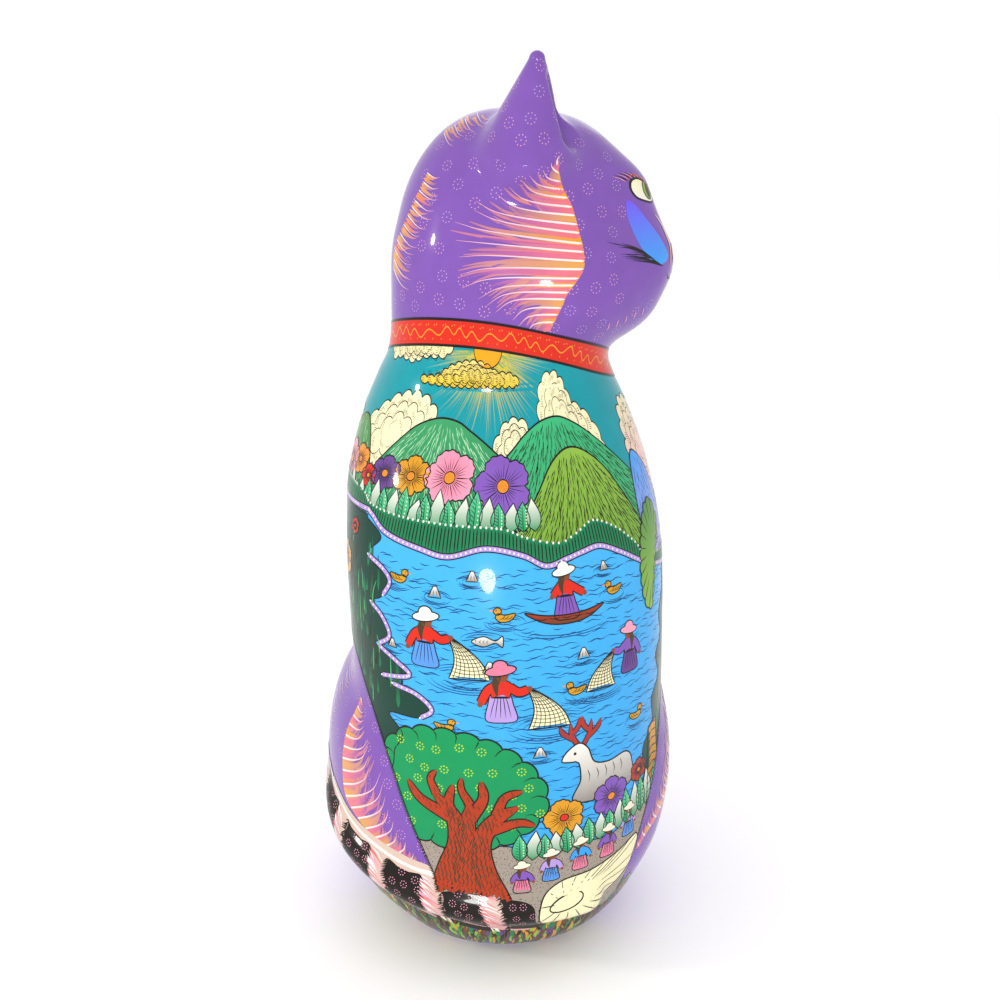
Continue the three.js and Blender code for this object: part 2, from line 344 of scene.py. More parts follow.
def head_side(side):
    """Along the head and height above its middle, seen from its left (1) or right (-1)."""
    def lay(flat):
        return head_rays(flat[:, 0], side * np.full(len(flat), FAR), flat[:, 1], -side * LEFTWARD)
    return lay


def head_front(flat):
    """Across the face, towards the head's left, and height above its middle."""
    return head_rays(np.full(len(flat), FAR), flat[:, 0], flat[:, 1], -AHEAD)


def from_side(azimuth):
    """A level view of the whole cat: place to the right in that view, and height."""
    a = math.radians(azimuth)
    right, away = np.array([math.cos(a), math.sin(a)]), np.array([math.sin(a), -math.cos(a)])

    def lay(flat):
        start = np.concatenate([flat[:, :1] * right + FAR * away, flat[:, 1:]], 1)
        return start, np.broadcast_to([*-away, 0], start.shape)
    return lay


RAY_START = 1.6  # rays start this many tail radii from the tail's middle line


def round_tail(flat):
    """Along the tail from the middle of the back, and around it from its outer side upwards."""
    turn = flat[:, 0] / WRAP_RADIUS
    lean = flat[:, 1] / (TAIL_WIDTH / 2)
    ring, middle = tail_ring(turn)
    outward = np.stack([np.sin(turn), np.cos(turn), np.zeros(len(turn))], 1)
    across = outward * np.cos(lean)[:, None]
    across[:, 2] = np.sin(lean)
    core = outward * ring[:, None]
    core[:, 2] = middle
    return core + across * RAY_START * TAIL_WIDTH / 2, -across


# Flat drawing helpers.

rng = np.random.default_rng(11)


def curve(points, step=1.6, closed=False):
    """A smooth line through a few points, as evenly spaced points."""
    points = np.asarray(points, float)
    if closed:
        padded = np.concatenate([points[-1:], points, points[:2]])
    else:
        padded = np.concatenate([2 * points[:1] - points[1:2], points, 2 * points[-1:] - points[-2:-1]])
    pieces = []
    for p0, p1, p2, p3 in zip(padded, padded[1:], padded[2:], padded[3:]):
        count = max(int(np.linalg.norm(p2 - p1) / step), 1)
        t = np.linspace(0, 1, count, endpoint=False)[:, None]
        pieces.append(
            0.5 * (2 * p1 + (p2 - p0) * t + (2 * p0 - 5 * p1 + 4 * p2 - p3) * t ** 2
                   + (3 * p1 - p0 - 3 * p2 + p3) * t ** 3)
        )
    if not closed:
        pieces.append(points[-1:])
    return np.concatenate(pieces)


def fine(path, step=1.6):
    """The same line in short steps, so that it follows the round skin."""
    counts = np.maximum(np.ceil(np.linalg.norm(np.diff(path, axis=0), axis=1) / step).astype(int), 1)
    pieces = [np.linspace(a, b, count, endpoint=False) for a, b, count in zip(path, path[1:], counts)]
    return np.concatenate([*pieces, path[-1:]])


def oval(middle, radii, count=24, turn=0.0):
    angle = np.linspace(0, 2 * math.pi, count, endpoint=False)
    x, y = radii[0] * np.cos(angle), radii[1] * np.sin(angle)
    return np.stack([
        middle[0] + x * math.cos(turn) - y * math.sin(turn),
        middle[1] + x * math.sin(turn) + y * math.cos(turn),
    ], 1)


def scalloped(outline, pitch, depth):
    """A closed line with round lobes along it, and the points where the lobes meet."""
    ring = curve(outline, 0.5, closed=True)
    steps = np.linalg.norm(np.roll(ring, -1, 0) - ring, axis=1)
    along = np.cumsum(steps) - steps[0]
    lobes = max(int(round(steps.sum() / pitch)), 3)
    phase = along / steps.sum() * lobes
    direction = np.roll(ring, -1, 0) - np.roll(ring, 1, 0)
    outward = np.stack([direction[:, 1], -direction[:, 0]], 1)
    outward /= np.maximum(np.linalg.norm(outward, axis=1), 1e-9)[:, None]
    if turning(ring) < 0:
        outward = -outward
    bulge = depth * (np.abs(np.sin(math.pi * phase)) ** 0.6)
    cusps = [int(np.argmin(np.abs(phase - n))) for n in range(lobes)]
    return ring + outward * bulge[:, None], ring[cusps]


def turning(ring):
    """Positive if a closed line runs anticlockwise."""
    x, y = ring.T
    return (x * np.roll(y, -1) - np.roll(x, -1) * y).sum()


def anticlockwise(ring):
    ring = np.asarray(ring, float)
    return ring if turning(ring) > 0 else ring[::-1]


def inside(outline, points):
    x, y = points.T
    within = np.zeros(len(points), bool)
    for (ax, ay), (bx, by) in zip(outline, np.roll(outline, -1, 0)):
        crosses = (ay > y) != (by > y)
        within ^= crosses & (x < (bx - ax) * (y - ay) / (by - ay + 1e-12) + ax)
    return within


def sprinkle(outline, gap, jitter=0.35):
    """Evenly loose points within an outline."""
    low, high = outline.min(0), outline.max(0)
    rows = np.arange(low[1], high[1] + gap, 0.87 * gap)
    columns = np.arange(low[0], high[0] + gap, gap)
    grid = np.array([(x + (n % 2) * gap / 2, y) for n, y in enumerate(rows) for x in columns])
    grid = grid + rng.uniform(-jitter, jitter, grid.shape) * gap
    return grid[inside(outline, grid)]


# Colours.

COLOURS = {
    "purple": "#7f55b0", "plum": "#6a4490", "lilac": "#b59add", "violet": "#7558f2", "sky": "#0a9aa6",
    "glow": "#7fae5a", "sun": "#f2a413", "yellow": "#e8c626", "pale_yellow": "#f3e08a",
    "cream": "#f7efc2", "white": "#f6f2ea", "grey": "#8f8983", "black": "#1b1712", "straw": "#f2ead2",
    "hill": "#3fa066", "mint": "#a9dcae", "right_hill": "#3cba7b", "olive": "#8ebb45",
    "olive_shade": "#6f9f35", "blue_hill": "#5a97e6", "bank": "#1a7f52", "dark_bank": "#103f32",
    "lake": "#46b4f5", "deep_lake": "#3aa6ee", "ink_blue": "#184a78", "blue": "#36a2f7",
    "leaf": "#12935a", "leaf_light": "#5fd09a", "stem": "#4f8f3b", "ground": "#a1968a",
    "tree": "#0a9556", "tree_dot": "#b8dc2c", "bark": "#b23a18", "brown": "#6e4128", "umber": "#4d3a24",
    "red": "#dc2c1b", "orange": "#f0952a", "pink": "#e57f9d", "rose": "#f0a4bd", "antler": "#b0362a",
    "flower_purple": "#8459b8", "flower_orange": "#dc9a24", "duck": "#d19a26", "face": "#8a4a2a",
    "tail_cream": "#d9c6b4", "tail_pink": "#dba3a6", "nose": "#d9806c", "iris": "#7d8f2f",
    "plume_orange": "#ff9233", "plume_tan": "#e9a64e", "plume_pink": "#f67a80", "plume_tip": "#b9789c",
    "rose_dot": "#e3a3c4", "lilac_dot": "#c3a6dc",
}
ramps = {}
RAMP_COLUMNS = 16  # the paint map is a square of this many cells each way, one for each ramp


def linear(name):
    code = COLOURS[name]
    parts = np.array([int(code[n:n + 2], 16) / 255 for n in (1, 3, 5)])
    return np.where(parts < 0.04045, parts / 12.92, ((parts + 0.055) / 1.055) ** 2.4)


def ramp_number(ramp):
    """Each colour, or fade from one colour to another, has its own number."""
    pair = (ramp, ramp) if isinstance(ramp, str) else tuple(ramp)
    return ramps.setdefault(pair, len(ramps))


MESH_STEP = 2.4  # distance between the points within a painted shape
LONGEST_EDGE = 6  # a longer edge bridges a gap between two parts of the cat
BLUNT = (0, 0)  # share of each end of a stroke that narrows to a point
LIFTED = (0.1, 0.5)


class Sheet:
    """Painted shapes that are laid on the cat in one way. Higher levels lie over lower ones."""

    def __init__(self, name, lay, level=1, window=None):
        self.name, self.lay, self.level, self.window = name, lay, level, window
        self.flat, self.faces, self.place, self.ramp, self.height = [], [], [], [], []
        self.size = 0

    def add(self, flat, faces, place, ramp):
        self.flat.append(flat)
        self.faces.append(np.asarray(faces) + self.size)
        self.place.append(place)
        self.ramp.append(np.full(len(flat), ramp_number(ramp)))
        self.height.append(np.full(len(flat), self.level * LAYER))
        self.size += len(flat)

    def fill(self, outline, ramp, step=MESH_STEP, along=1, middle=None):
        """A filled outline. The fade runs along x (0) or height (1), or out from a middle."""
        outline = anticlockwise(outline)
        low, high = outline.min(0), outline.max(0)
        axes = [np.arange(a + step / 2, b, step) for a, b in zip(low, high)]
        grid = np.stack(np.meshgrid(*axes), -1).reshape(-1, 2)
        rings = [outline] if self.window is None else [outline, self.window]
        flat, faces = net_within(rings, grid)
        if not len(faces):
            return
        share = (flat - low) / np.maximum(high - low, 1e-6)
        place = share if along == 0 else share[:, ::-1]
        if middle is not None:
            reach = np.linalg.norm(outline - middle, axis=1).max()
            place = np.stack([np.linalg.norm(flat - middle, axis=1) / reach, share[:, 0]], 1)
        self.add(flat, faces, np.clip(place, 0, 1), ramp)

    def stroke(self, path, width, ramp, sharp=(0.3, 0.3), closed=False):
        """A line of paint, narrowed to a point over a share of each end."""
        path = np.asarray(path, float)
        if closed:
            path = np.concatenate([path, path[:1]])
        path = fine(path)
        direction = np.gradient(path, axis=0)
        direction /= np.maximum(np.linalg.norm(direction, axis=1), 1e-9)[:, None]
        if closed:
            direction[0] = direction[-1] = direction[0] + direction[-1]
            direction[[0, -1]] /= max(np.linalg.norm(direction[0]), 1e-9)
        across = np.stack([-direction[:, 1], direction[:, 0]], 1)
        t = np.linspace(0, 1, len(path))
        press = np.ones(len(path))
        if not closed:
            start, end = (max(share, 1e-3) for share in sharp)
            press = np.minimum(np.minimum(t / start, (1 - t) / end), 1)
            press = 0.12 + 0.88 * np.maximum(press, 0) ** 0.8
        self.ribbon(path, width / 2 * press, ramp, across)

    def ribbon(self, path, half, ramp, across=None):
        """A band of paint along a path, with its own half width at each point."""
        if across is None:
            direction = np.gradient(path, axis=0)
            across = np.stack([-direction[:, 1], direction[:, 0]], 1)
            across /= np.linalg.norm(direction, axis=1)[:, None]
        rows = 2 + int(2 * half.max() / MESH_STEP)
        sides = np.linspace(-1, 1, rows)
        flat = np.concatenate([path + across * (half * side)[:, None] for side in sides])
        along = np.tile(np.linspace(0, 1, len(path)), rows)
        place = np.stack([along, np.repeat((sides + 1) / 2, len(path))], 1)
        self.add(flat, strips(rows, len(path)), place, ramp)

    def dots(self, middles, radius, ramp, sides=7):
        """Small round dots."""
        middles = np.atleast_2d(middles)
        rim = oval((0, 0), (radius, radius), sides)
        flat = np.concatenate([middles[:, None], middles[:, None] + rim], 1).reshape(-1, 2)
        fan = np.array([(0, 1 + n, 1 + (n + 1) % sides) for n in range(sides)])
        faces = (fan + (np.arange(len(middles)) * (sides + 1))[:, None, None]).reshape(-1, 3)
        place = np.concatenate([[(0.5, 0.5)], 0.5 + 0.5 * rim / radius])
        self.add(flat, faces, np.tile(place, (len(middles), 1)), ramp)

    def inked(self, outline, ramp, ink=0.7, **how):
        """A filled shape with a black outline."""
        self.fill(outline, ramp, **how)
        self.level += 1
        self.stroke(outline, ink, "black", closed=True)
        self.level -= 1

    def make(self, material):
        """The mesh of all shapes on this sheet, as one piece."""
        flat, place = np.concatenate(self.flat), np.concatenate(self.place)
        ramp, height = np.concatenate(self.ramp), np.concatenate(self.height)
        faces = np.concatenate(self.faces)
        if self.window is not None:
            faces = faces[inside(self.window, flat[faces].mean(1))]
        points, hit = first_hit(*self.lay(flat))
        faces = faces[hit[faces].all(1)]
        faces = faces[max_edge(points[faces]) < LONGEST_EDGE]
        used, faces = np.unique(faces, return_inverse=True)
        faces = faces.reshape(-1, 3)
        points, normals = settle(points[used])
        points = points + normals * (height[used] - SKIN_DEPTH)[:, None]
        return piece(self.name, points, faces, normals, place[used], ramp[used], material)


def net_within(rings, grid):
    """A flat net of triangles over the area that lies in all the rings, with the grid's points in it."""
    first = np.cumsum([0] + [len(ring) for ring in rings])
    loops = [list(range(a, b)) for a, b in zip(first, first[1:])]
    corners = [Vector(c) for c in np.concatenate([*rings, grid])]
    made = delaunay_2d_cdt(corners, [], loops, 1, 1e-4)
    faces = [f for f, sources in zip(made[2], made[5]) if len(sources) == len(rings)]
    used, faces = np.unique(np.array(faces, int), return_inverse=True)
    return np.array([v[:] for v in made[0]])[used], faces.reshape(-1, 3)


def strips(rows, columns):
    """Two triangles for each cell of a grid of points."""
    i = np.arange((rows - 1) * columns).reshape(rows - 1, -1)[:, :-1].ravel()
    return np.concatenate([
        np.stack([i, i + 1, i + columns], 1), np.stack([i + 1, i + columns + 1, i + columns], 1),
    ])


def max_edge(corners):
    return np.linalg.norm(corners - np.roll(corners, 1, 1), axis=2).max(1)


def piece(name, points, faces, normals, place, ramp, material):
    """A Blender object for one coat of paint or skin, with its colours and smooth normals."""
    corners = points[faces]
    facing = np.cross(corners[:, 1] - corners[:, 0], corners[:, 2] - corners[:, 0])
    turned = (facing * normals[faces[:, 0]]).sum(1) < 0
    faces = np.where(turned[:, None], faces[:, ::-1], faces)
    points = np.clip(points, CAD_LOW, CAD_HIGH)
    mesh = bpy.data.meshes.new(name)
    mesh.from_pydata((points * MM).tolist(), [], faces.tolist())
    pairs = list(ramps)
    ends = np.array([[linear(a), linear(b)] for a, b in pairs])
    share = place[:, :1]
    colour = ends[ramp, 0] * (1 - share) + ends[ramp, 1] * share
    paint = mesh.color_attributes.new("paint", "FLOAT_COLOR", "POINT")
    paint.data.foreach_set("color", np.column_stack([colour, np.ones(len(colour))]).ravel())
    cell = np.stack([ramp % RAMP_COLUMNS, ramp // RAMP_COLUMNS], 1)
    spot = (cell + 0.1 + 0.8 * place) / RAMP_COLUMNS
    bake_map = mesh.uv_layers.new(name="OFBake")
    bake_map.data.foreach_set("uv", spot[faces.ravel()].ravel())
    mesh.materials.append(material)
    mesh.shade_smooth()
    mesh.normals_split_custom_set_from_vertices(normals.tolist())
    made = bpy.data.objects.new(name, mesh)
    bpy.context.scene.collection.objects.link(made)
    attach(made, "root")
    return made


def split(points, faces):
    """Each triangle in four, neighbours sharing their middles."""
    edges = np.sort(np.concatenate([faces[:, [0, 1]], faces[:, [1, 2]], faces[:, [2, 0]]]), axis=1)
    unique, which = np.unique(edges, axis=0, return_inverse=True)
    ab, bc, ca = len(points) + which.reshape(3, -1)
    a, b, c = faces.T
    quarters = [(a, ab, ca), (ab, b, bc), (ca, bc, c), (ab, bc, ca)]
    faces = np.concatenate([np.stack(corner, 1) for corner in quarters])
    return np.concatenate([points, points[unique].mean(1)]), faces


def bare_skin():
    """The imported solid's own surface, made fine and laid on the smooth form."""
    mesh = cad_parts["cat"].data
    corners = np.array([v.co for v in mesh.vertices]) / MM
    mesh.calc_loop_triangles()
    faces = np.array([t.vertices for t in mesh.loop_triangles])
    points, which = np.unique(corners.round(3), axis=0, return_inverse=True)
    faces = which.ravel()[faces]
    for _ in range(2):
        points, faces = split(points, faces)
    points, normals = settle(points, 4)
    sunk = normals * SKIN_DEPTH
    sunk[points[:, 2] < 1, 2] = 0
    return points - sunk, faces, normals


# Materials.

def glaze(name, texture_scale, waviness):
    """Glossy clear glaze over the colours that each mesh carries."""
    material = bpy.data.materials.new(name)
    material.use_nodes = True
    nodes, links = material.node_tree.nodes, material.node_tree.links
    shader = nodes["Principled BSDF"]
    shader.inputs["Roughness"].default_value = 0.22
    shader.inputs["Specular IOR Level"].default_value = 0.08
    shader.inputs["Coat Weight"].default_value = 0.28
    shader.inputs["Coat Roughness"].default_value = 0.035
    shader.inputs["Coat IOR"].default_value = 1.5

    colour = nodes.new("ShaderNodeVertexColor")
    colour.layer_name = "paint"
    place = nodes.new("ShaderNodeTexCoord")
    brush = nodes.new("ShaderNodeTexNoise")
    brush.inputs["Scale"].default_value = texture_scale
    brush.inputs["Detail"].default_value = 5
    tone = nodes.new("ShaderNodeMapRange")
    tone.inputs["To Min"].default_value = 0.74
    tone.inputs["To Max"].default_value = 0.90
    shade = nodes.new("ShaderNodeHueSaturation")
    links.new(place.outputs["Object"], brush.inputs["Vector"])
    links.new(brush.outputs["Fac"], tone.inputs["Value"])
    links.new(colour.outputs["Color"], shade.inputs["Color"])
    links.new(tone.outputs["Result"], shade.inputs["Value"])
    links.new(shade.outputs["Color"], shader.inputs["Base Color"])

    ripple = nodes.new("ShaderNodeTexNoise")
    ripple.inputs["Scale"].default_value = 55
    ripple.inputs["Detail"].default_value = 2
    relief = nodes.new("ShaderNodeBump")
    relief.inputs["Strength"].default_value = waviness
    relief.inputs["Distance"].default_value = 0.002
    links.new(place.outputs["Object"], ripple.inputs["Vector"])
    links.new(ripple.outputs["Fac"], relief.inputs["Height"])
    links.new(relief.outputs["Normal"], shader.inputs["Normal"])
    links.new(relief.outputs["Normal"], shader.inputs["Coat Normal"])
    return material


def plain(name, colour, roughness):
    material = bpy.data.materials.new(name)
    material.use_nodes = True
    shader = material.node_tree.nodes["Principled BSDF"]
    shader.inputs["Base Color"].default_value = (*colour, 1)
    shader.inputs["Roughness"].default_value = roughness
    return material


glaze_paint = glaze("painted_glaze", 120, 0.03)

# The landscape, in millimetres round the body and height.

HAUNCH_LINE = [(52, 50), (57, 63), (62, 75), (68, 89), (75, 105), (84, 121), (95, 137), (108, 151),
               (124, 160), (142, 160), (158, 150), (172, 134), (184, 118)]
CHEST_LINE = [(186, 150), (187, 190), (187, 235), (186, 268)]
TAIL_TOP = [(-40, 51), (-20, 48), (-7, 44), (-3, 32), (20, 27), (44, 29)]


def mirrored(points):
    return [(-x, y) for x, y in points]


def landscape_outline():
    left = np.concatenate([curve(mirrored(HAUNCH_LINE)), curve(mirrored(CHEST_LINE))])
    right = np.concatenate([curve(HAUNCH_LINE), curve(CHEST_LINE)])
    lower = curve([(-52, 50), *TAIL_TOP, (52, 50)])
    upper = np.array([(x, collar_height(x / WRAP_RADIUS) - 5) for x in np.arange(-184, 185, 4.0)])
    return anticlockwise(np.concatenate([left, upper, right[::-1], lower[::-1][1:-1]]))


landscape = landscape_outline()


def stretch(z):
    """How much wider a shape is drawn where the body is narrower than the wrap radius."""
    radius = (along_stations(np.asarray(z, float), 1) + along_stations(np.asarray(z, float), 2)) / 2
    return WRAP_RADIUS / radius


def put(points, middle, size=1.0, flip=1, turn=0.0):
    """A small drawing, in its own millimetres, turned and moved to a place in the landscape."""
    x, y = (np.asarray(points, float) * size).T
    right = flip * (x * math.cos(turn) - y * math.sin(turn))
    z = middle[1] + x * math.sin(turn) + y * math.cos(turn)
    return np.stack([middle[0] + right * stretch(z), z], 1)


areas = Sheet("landscape_areas", round_body, 1, landscape)
lines = Sheet("landscape_lines", round_body, 4, landscape)
clouds = Sheet("sun_and_clouds", round_body, 2, landscape)
garden = Sheet("garden", round_body, 8, landscape)
figures = Sheet("lake_figures", round_body, 9)

SHORE = [(-200, 222), (-112, 224), (-99, 223), (-86, 217), (-64, 213), (-49, 211), (-30, 215), (-11, 212),
         (1, 207), (12, 209), (22, 211), (33, 212), (46, 207), (60, 200), (72, 195), (110, 190), (200, 192)]
BANK_TOP = [(-200, 236), (-118, 232), (-101, 227), (-79, 225), (-49, 224), (-22, 223), (-8, 219), (9, 216),
            (20, 219), (32, 223), (46, 218), (58, 209), (68, 201), (110, 198), (200, 200)]


def below(top, floor):
    """A closed outline under a smooth line, down to a level."""
    top = curve(top)
    return np.concatenate([top, [(top[-1, 0], floor), (top[0, 0], floor)]])


def hatch_hill(ridge, floor, ramp, ink, gap, level):
    """A hill with an outlined ridge and short strokes that run down from its top."""
    outline = below(ridge, floor)
    areas.level = level
    areas.inked(outline, ramp, 0.8)
    lines.level = level + 1
    top = curve(ridge)
    peak = top[top[:, 1].argmax()]
    reach = top[:, 1].max() - floor
    for x, y in sprinkle(outline, gap, 0.45):
        if np.interp(x, top[:, 0], top[:, 1]) - y < 1.5:
            continue
        lean = 1.1 * (x - peak[0]) / max(peak[1] - y + 0.25 * reach, 6)
        down = np.array([np.clip(lean, -1.3, 1.3), -1.0])
        down *= rng.uniform(3.0, 6.5) / np.linalg.norm(down)
        bend = rng.uniform(-0.5, 0.5)
        path = curve([(x, y), (x + down[0] / 2 + bend, y + down[1] / 2), (x, y) + down])
        lines.stroke(path, rng.uniform(0.35, 0.6), ink, (0.1, 0.7))


def cloud(level, outline, ramp, pitch, depth):
    """A scalloped cloud with short curved hatching inside its edge."""
    outline = np.array(outline, float)
    middle = outline.mean(0)
    for share in (1.0, 0.68, 0.38):
        shape, cusps = scalloped(middle + share * (outline - middle), pitch, depth)
        clouds.level = level
        if share == 1:
            clouds.fill(shape, ramp)
        clouds.level = level + 1
        clouds.stroke(shape, 0.6 if share == 1 else 0.4, "black", closed=True)
        for cusp in cusps:
            inward = middle - cusp
            inward /= max(np.linalg.norm(inward), 1e-6)
            aside = np.array([-inward[1], inward[0]])
            for k in range(-2, 4):
                start = cusp + aside * (0.9 * k) + inward * (0.4 + 0.25 * abs(k - 1))
                long = rng.uniform(1.5, 3.6) * (0.5 + 0.5 * share)
                path = curve([start, start + inward * long * 0.6 + aside * 0.5, start + inward * long])
                clouds.stroke(path, 0.35, "black", (0.1, 0.8))


SUN = (-34, 296)
SUN_RADIUS = 7.5
SUN_RAYS = 170

# Each row: level, outline, fade, width and depth of a lobe.
CLOUDS = [
    (4, [(-93, 282), (-78, 283.5), (-66, 288), (-52, 290.5), (-38, 290), (-26, 286), (-14, 285),
         (-8, 281.5), (-24, 281), (-45, 281), (-70, 281)], ("yellow", "pale_yellow"), 6.5, 1.6),
    (4, [(-132, 290), (-118, 291), (-104, 290), (-90, 293), (-72, 294), (-66, 299), (-80, 304),
         (-128, 304)], ("cream", "pale_yellow"), 8, 2),
    (3, [(-138, 238), (-134, 252), (-122, 264), (-108, 272), (-92, 274), (-80, 271), (-74, 264),
         (-80, 248), (-96, 240)], "cream", 9, 3),
    (3, [(-27, 246), (-26, 256), (-18, 264), (-8, 265), (-1, 262), (2, 254), (-6, 248)], "cream", 8, 2.4),
    (3, [(14, 250), (10, 262), (12, 272), (16, 282), (26, 284), (36, 279), (42, 271), (52, 266),
         (58, 258), (56, 248), (34, 246)], "cream", 8.5, 2.6),
    (3, [(84, 226), (80, 238), (84, 250), (92, 262), (104, 266), (118, 262), (126, 250), (124, 232),
         (104, 224)], ("rose", "cream"), 9, 3),
    (3, oval((-160, 250), (18, 13), 8), "cream", 9, 3),
    (3, oval((156, 250), (18, 13), 8), "cream", 9, 3),
]

# Each row: ridge, foot, fade, ink, gap between strokes, level.
HILLS = [
    ([(-26, 247), (-16, 253), (-4, 260), (10, 265), (26, 266.5), (40, 263), (52, 257), (64, 248),
      (76, 236), (84, 224)], 205, ("hill", "right_hill"), "black", 2.5, 5),
    ([(-196, 230), (-170, 240), (-150, 254), (-136, 262), (-124, 258), (-112, 244), (-104, 228)], 215,
     ("bank", "stem"), "mint", 3.4, 5),
    ([(96, 196), (112, 226), (130, 246), (150, 240), (172, 222), (196, 212)], 190,
     ("hill", "right_hill"), "black", 3.4, 5),
    ([(-112, 236), (-104, 246), (-94, 256), (-84, 263), (-70, 266.5), (-56, 265.5), (-46, 262),
      (-34, 257), (-22, 251), (-8, 243)], 222, ("bank", "hill"), "mint", 2.6, 7),
    ([(66, 205), (70, 226), (76, 240), (84, 246), (92, 240), (98, 226), (104, 200)], 190,
     ("lilac", "blue"), "ink_blue", 4.0, 7),
    ([(-20, 216), (-10, 225), (0, 236), (10, 246), (20, 251.5), (30, 253.5), (40, 251.5), (50, 245),
      (58, 234), (66, 220), (74, 202)], 200, ("olive_shade", "olive"), "black", 2.4, 7),
]


def paint_sky():
    areas.level = 1
    areas.fill([(-200, 190), (200, 190), (200, 310), (-200, 310)], "sky")
    clouds.level = 2
    for n in range(SUN_RAYS):
        angle = math.pi * (1 + (n + rng.uniform(0, 0.8)) / SUN_RAYS)
        ray = np.array([math.cos(angle) * 1.5, math.sin(angle)])
        reach = np.linspace(rng.uniform(5, 12), rng.uniform(20, 44), 14)
        path = np.array(SUN) + ray * reach[:, None]
        fade = ("yellow" if n % 3 else "glow", "sky")
        clouds.stroke(path, rng.uniform(0.5, 1.5), fade, (0.1, 0.9))
    clouds.level = 4
    clouds.inked(put(oval((0, 0), (SUN_RADIUS, SUN_RADIUS), 40), SUN), "sun", 0.6)
    for row in CLOUDS:
        cloud(*row)


def paint_hills():
    for row in HILLS:
        hatch_hill(*row)


def leaf_shape(base, tip, width):
    base, along = np.array(base, float), np.subtract(tip, base)
    across = np.array([-along[1], along[0]]) / np.linalg.norm(along)
    t = np.linspace(0, 1, 9)[:, None]
    bulge = width / 2 * np.sin(math.pi * t ** 0.75) * across
    spine = base + t * along
    return np.concatenate([spine + bulge, (spine - bulge)[-2:0:-1]])


def leaf(sheet, base, tip, width, number):
    """Every other leaf fades to white, the rest have a rib, small veins and dots."""
    base, tip = np.array(base, float), np.array(tip, float)
    fades = number % 2
    sheet.inked(leaf_shape(base, tip, width), ("leaf", "white" if fades else "leaf_light"), 0.5)
    if not fades:
        sheet.level += 1
        leaf_veins(sheet, base, tip - base, width)
        sheet.level -= 1


def leaf_veins(sheet, base, along, width):
    across = np.array([-along[1], along[0]]) / np.linalg.norm(along) * width / 2
    sheet.stroke(base + along * np.linspace(0, 0.95, 6)[:, None], 0.4, "black", LIFTED)
    for share in np.linspace(0.12, 0.75, 7):
        start = base + along * share
        vein = [start, start + 0.35 * across + 0.06 * along, start + 0.7 * across + 0.1 * along]
        sheet.stroke(vein, 0.3, "black", LIFTED)
    spots = [base + along * share - 0.45 * across for share in np.linspace(0.2, 0.72, 6)]
    sheet.dots(spots, 0.35, "cream")


def blossom(sheet, middle, radius, petals, ramp, heart="orange", flat=1.0):
    """A ruffled flower with veined petals and a dotted heart."""
    angle = np.linspace(0, 2 * math.pi, 96, endpoint=False)
    lobes = np.abs(np.sin(petals * angle / 2)) ** 0.45
    edge = radius * (0.76 + 0.24 * lobes + 0.025 * np.sin(4 * petals * angle))
    outline = put(np.stack([edge * np.cos(angle), flat * edge * np.sin(angle)], 1), middle)
    sheet.inked(outline, ramp, 0.6, middle=np.array(middle))
    sheet.level += 1
    for n in range(petals):
        for k, share in enumerate((0, 0.2, 0.36, 0.5, 0.64, 0.8)):
            way = (n + share) / petals * 2 * math.pi
            reach = 0.78 if k == 0 else rng.uniform(0.5, 0.85)
            ray = np.array([math.cos(way), flat * math.sin(way)]) * radius
            path = put([ray * t for t in (0.22, reach * 0.6, reach)], middle)
            sheet.stroke(path, 0.5 if k == 0 else 0.3, "black", (0.05, 0.6))
    sheet.level += 1
    sheet.inked(put(oval((0, 0), (0.21 * radius, 0.19 * radius), 16), middle), heart, 0.5)
    sheet.level += 1
    seeds = sprinkle(oval((0, 0), (0.16 * radius, 0.15 * radius), 12), 0.8, 0.2)
    sheet.dots(put(seeds, middle), 0.18, "red", 5)
    sheet.level -= 3


def paint_flower_row():
    garden.level = 9
    row = [(-138, 240, 11, 6, "pink"), (-122, 243, 8, 5, "orange"), (-109, 238, 6, 5, "red"),
           (-96, 241, 9, 6, "plum"), (-78, 242, 10, 6, "flower_orange"), (-54, 243, 13, 5, "pink"),
           (-21, 240, 14.5, 5, "flower_purple")]
    for x, z, radius, petals, colour in row:
        blossom(garden, (x, z), radius, petals, (colour, "rose" if colour == "pink" else colour), flat=0.86)
    garden.level = 12
    for n, x in enumerate(np.arange(-146, 2, 6.8)):
        leaf(garden, (x, 221.5), (x + rng.uniform(-2, 2), rng.uniform(233, 240)), 8.4, n)


def paint_bank():
    """The green bank between the flowers and the water, with its dotted and scalloped edges."""
    top, shore = curve(BANK_TOP), curve(SHORE)
    garden.level = 14
    garden.fill(np.concatenate([top, shore[::-1]]), "bank")
    lines.level = 15
    for x in np.arange(-198, 198, 1.9):
        high, low = (np.interp(x, *edge.T) for edge in (top, shore))
        path = np.linspace((x, high - 0.8), (x + rng.uniform(-0.3, 0.3), low + 1), 6)
        lines.stroke(path, 0.6, "black", (0.1, 0.3))
    water_edge(SHORE)
    lines.dots(curve(BANK_TOP, 2.9), 0.6, "white")


def water_edge(path):
    """The lilac rim of the water, with its row of white dots."""
    rim = curve(path)
    for level, width, colour in ((15, 3.0, "black"), (16, 2.0, "lilac")):
        lines.level = level
        lines.stroke(rim, width, colour, BLUNT)
    lines.level = 17
    lines.dots(curve(path, 2.4), 0.5, "white")


LAKE_FOOT = 56
RIPPLE_AREA = np.array([(-110, 80), (186, 80), (186, 208), (-110, 208)])


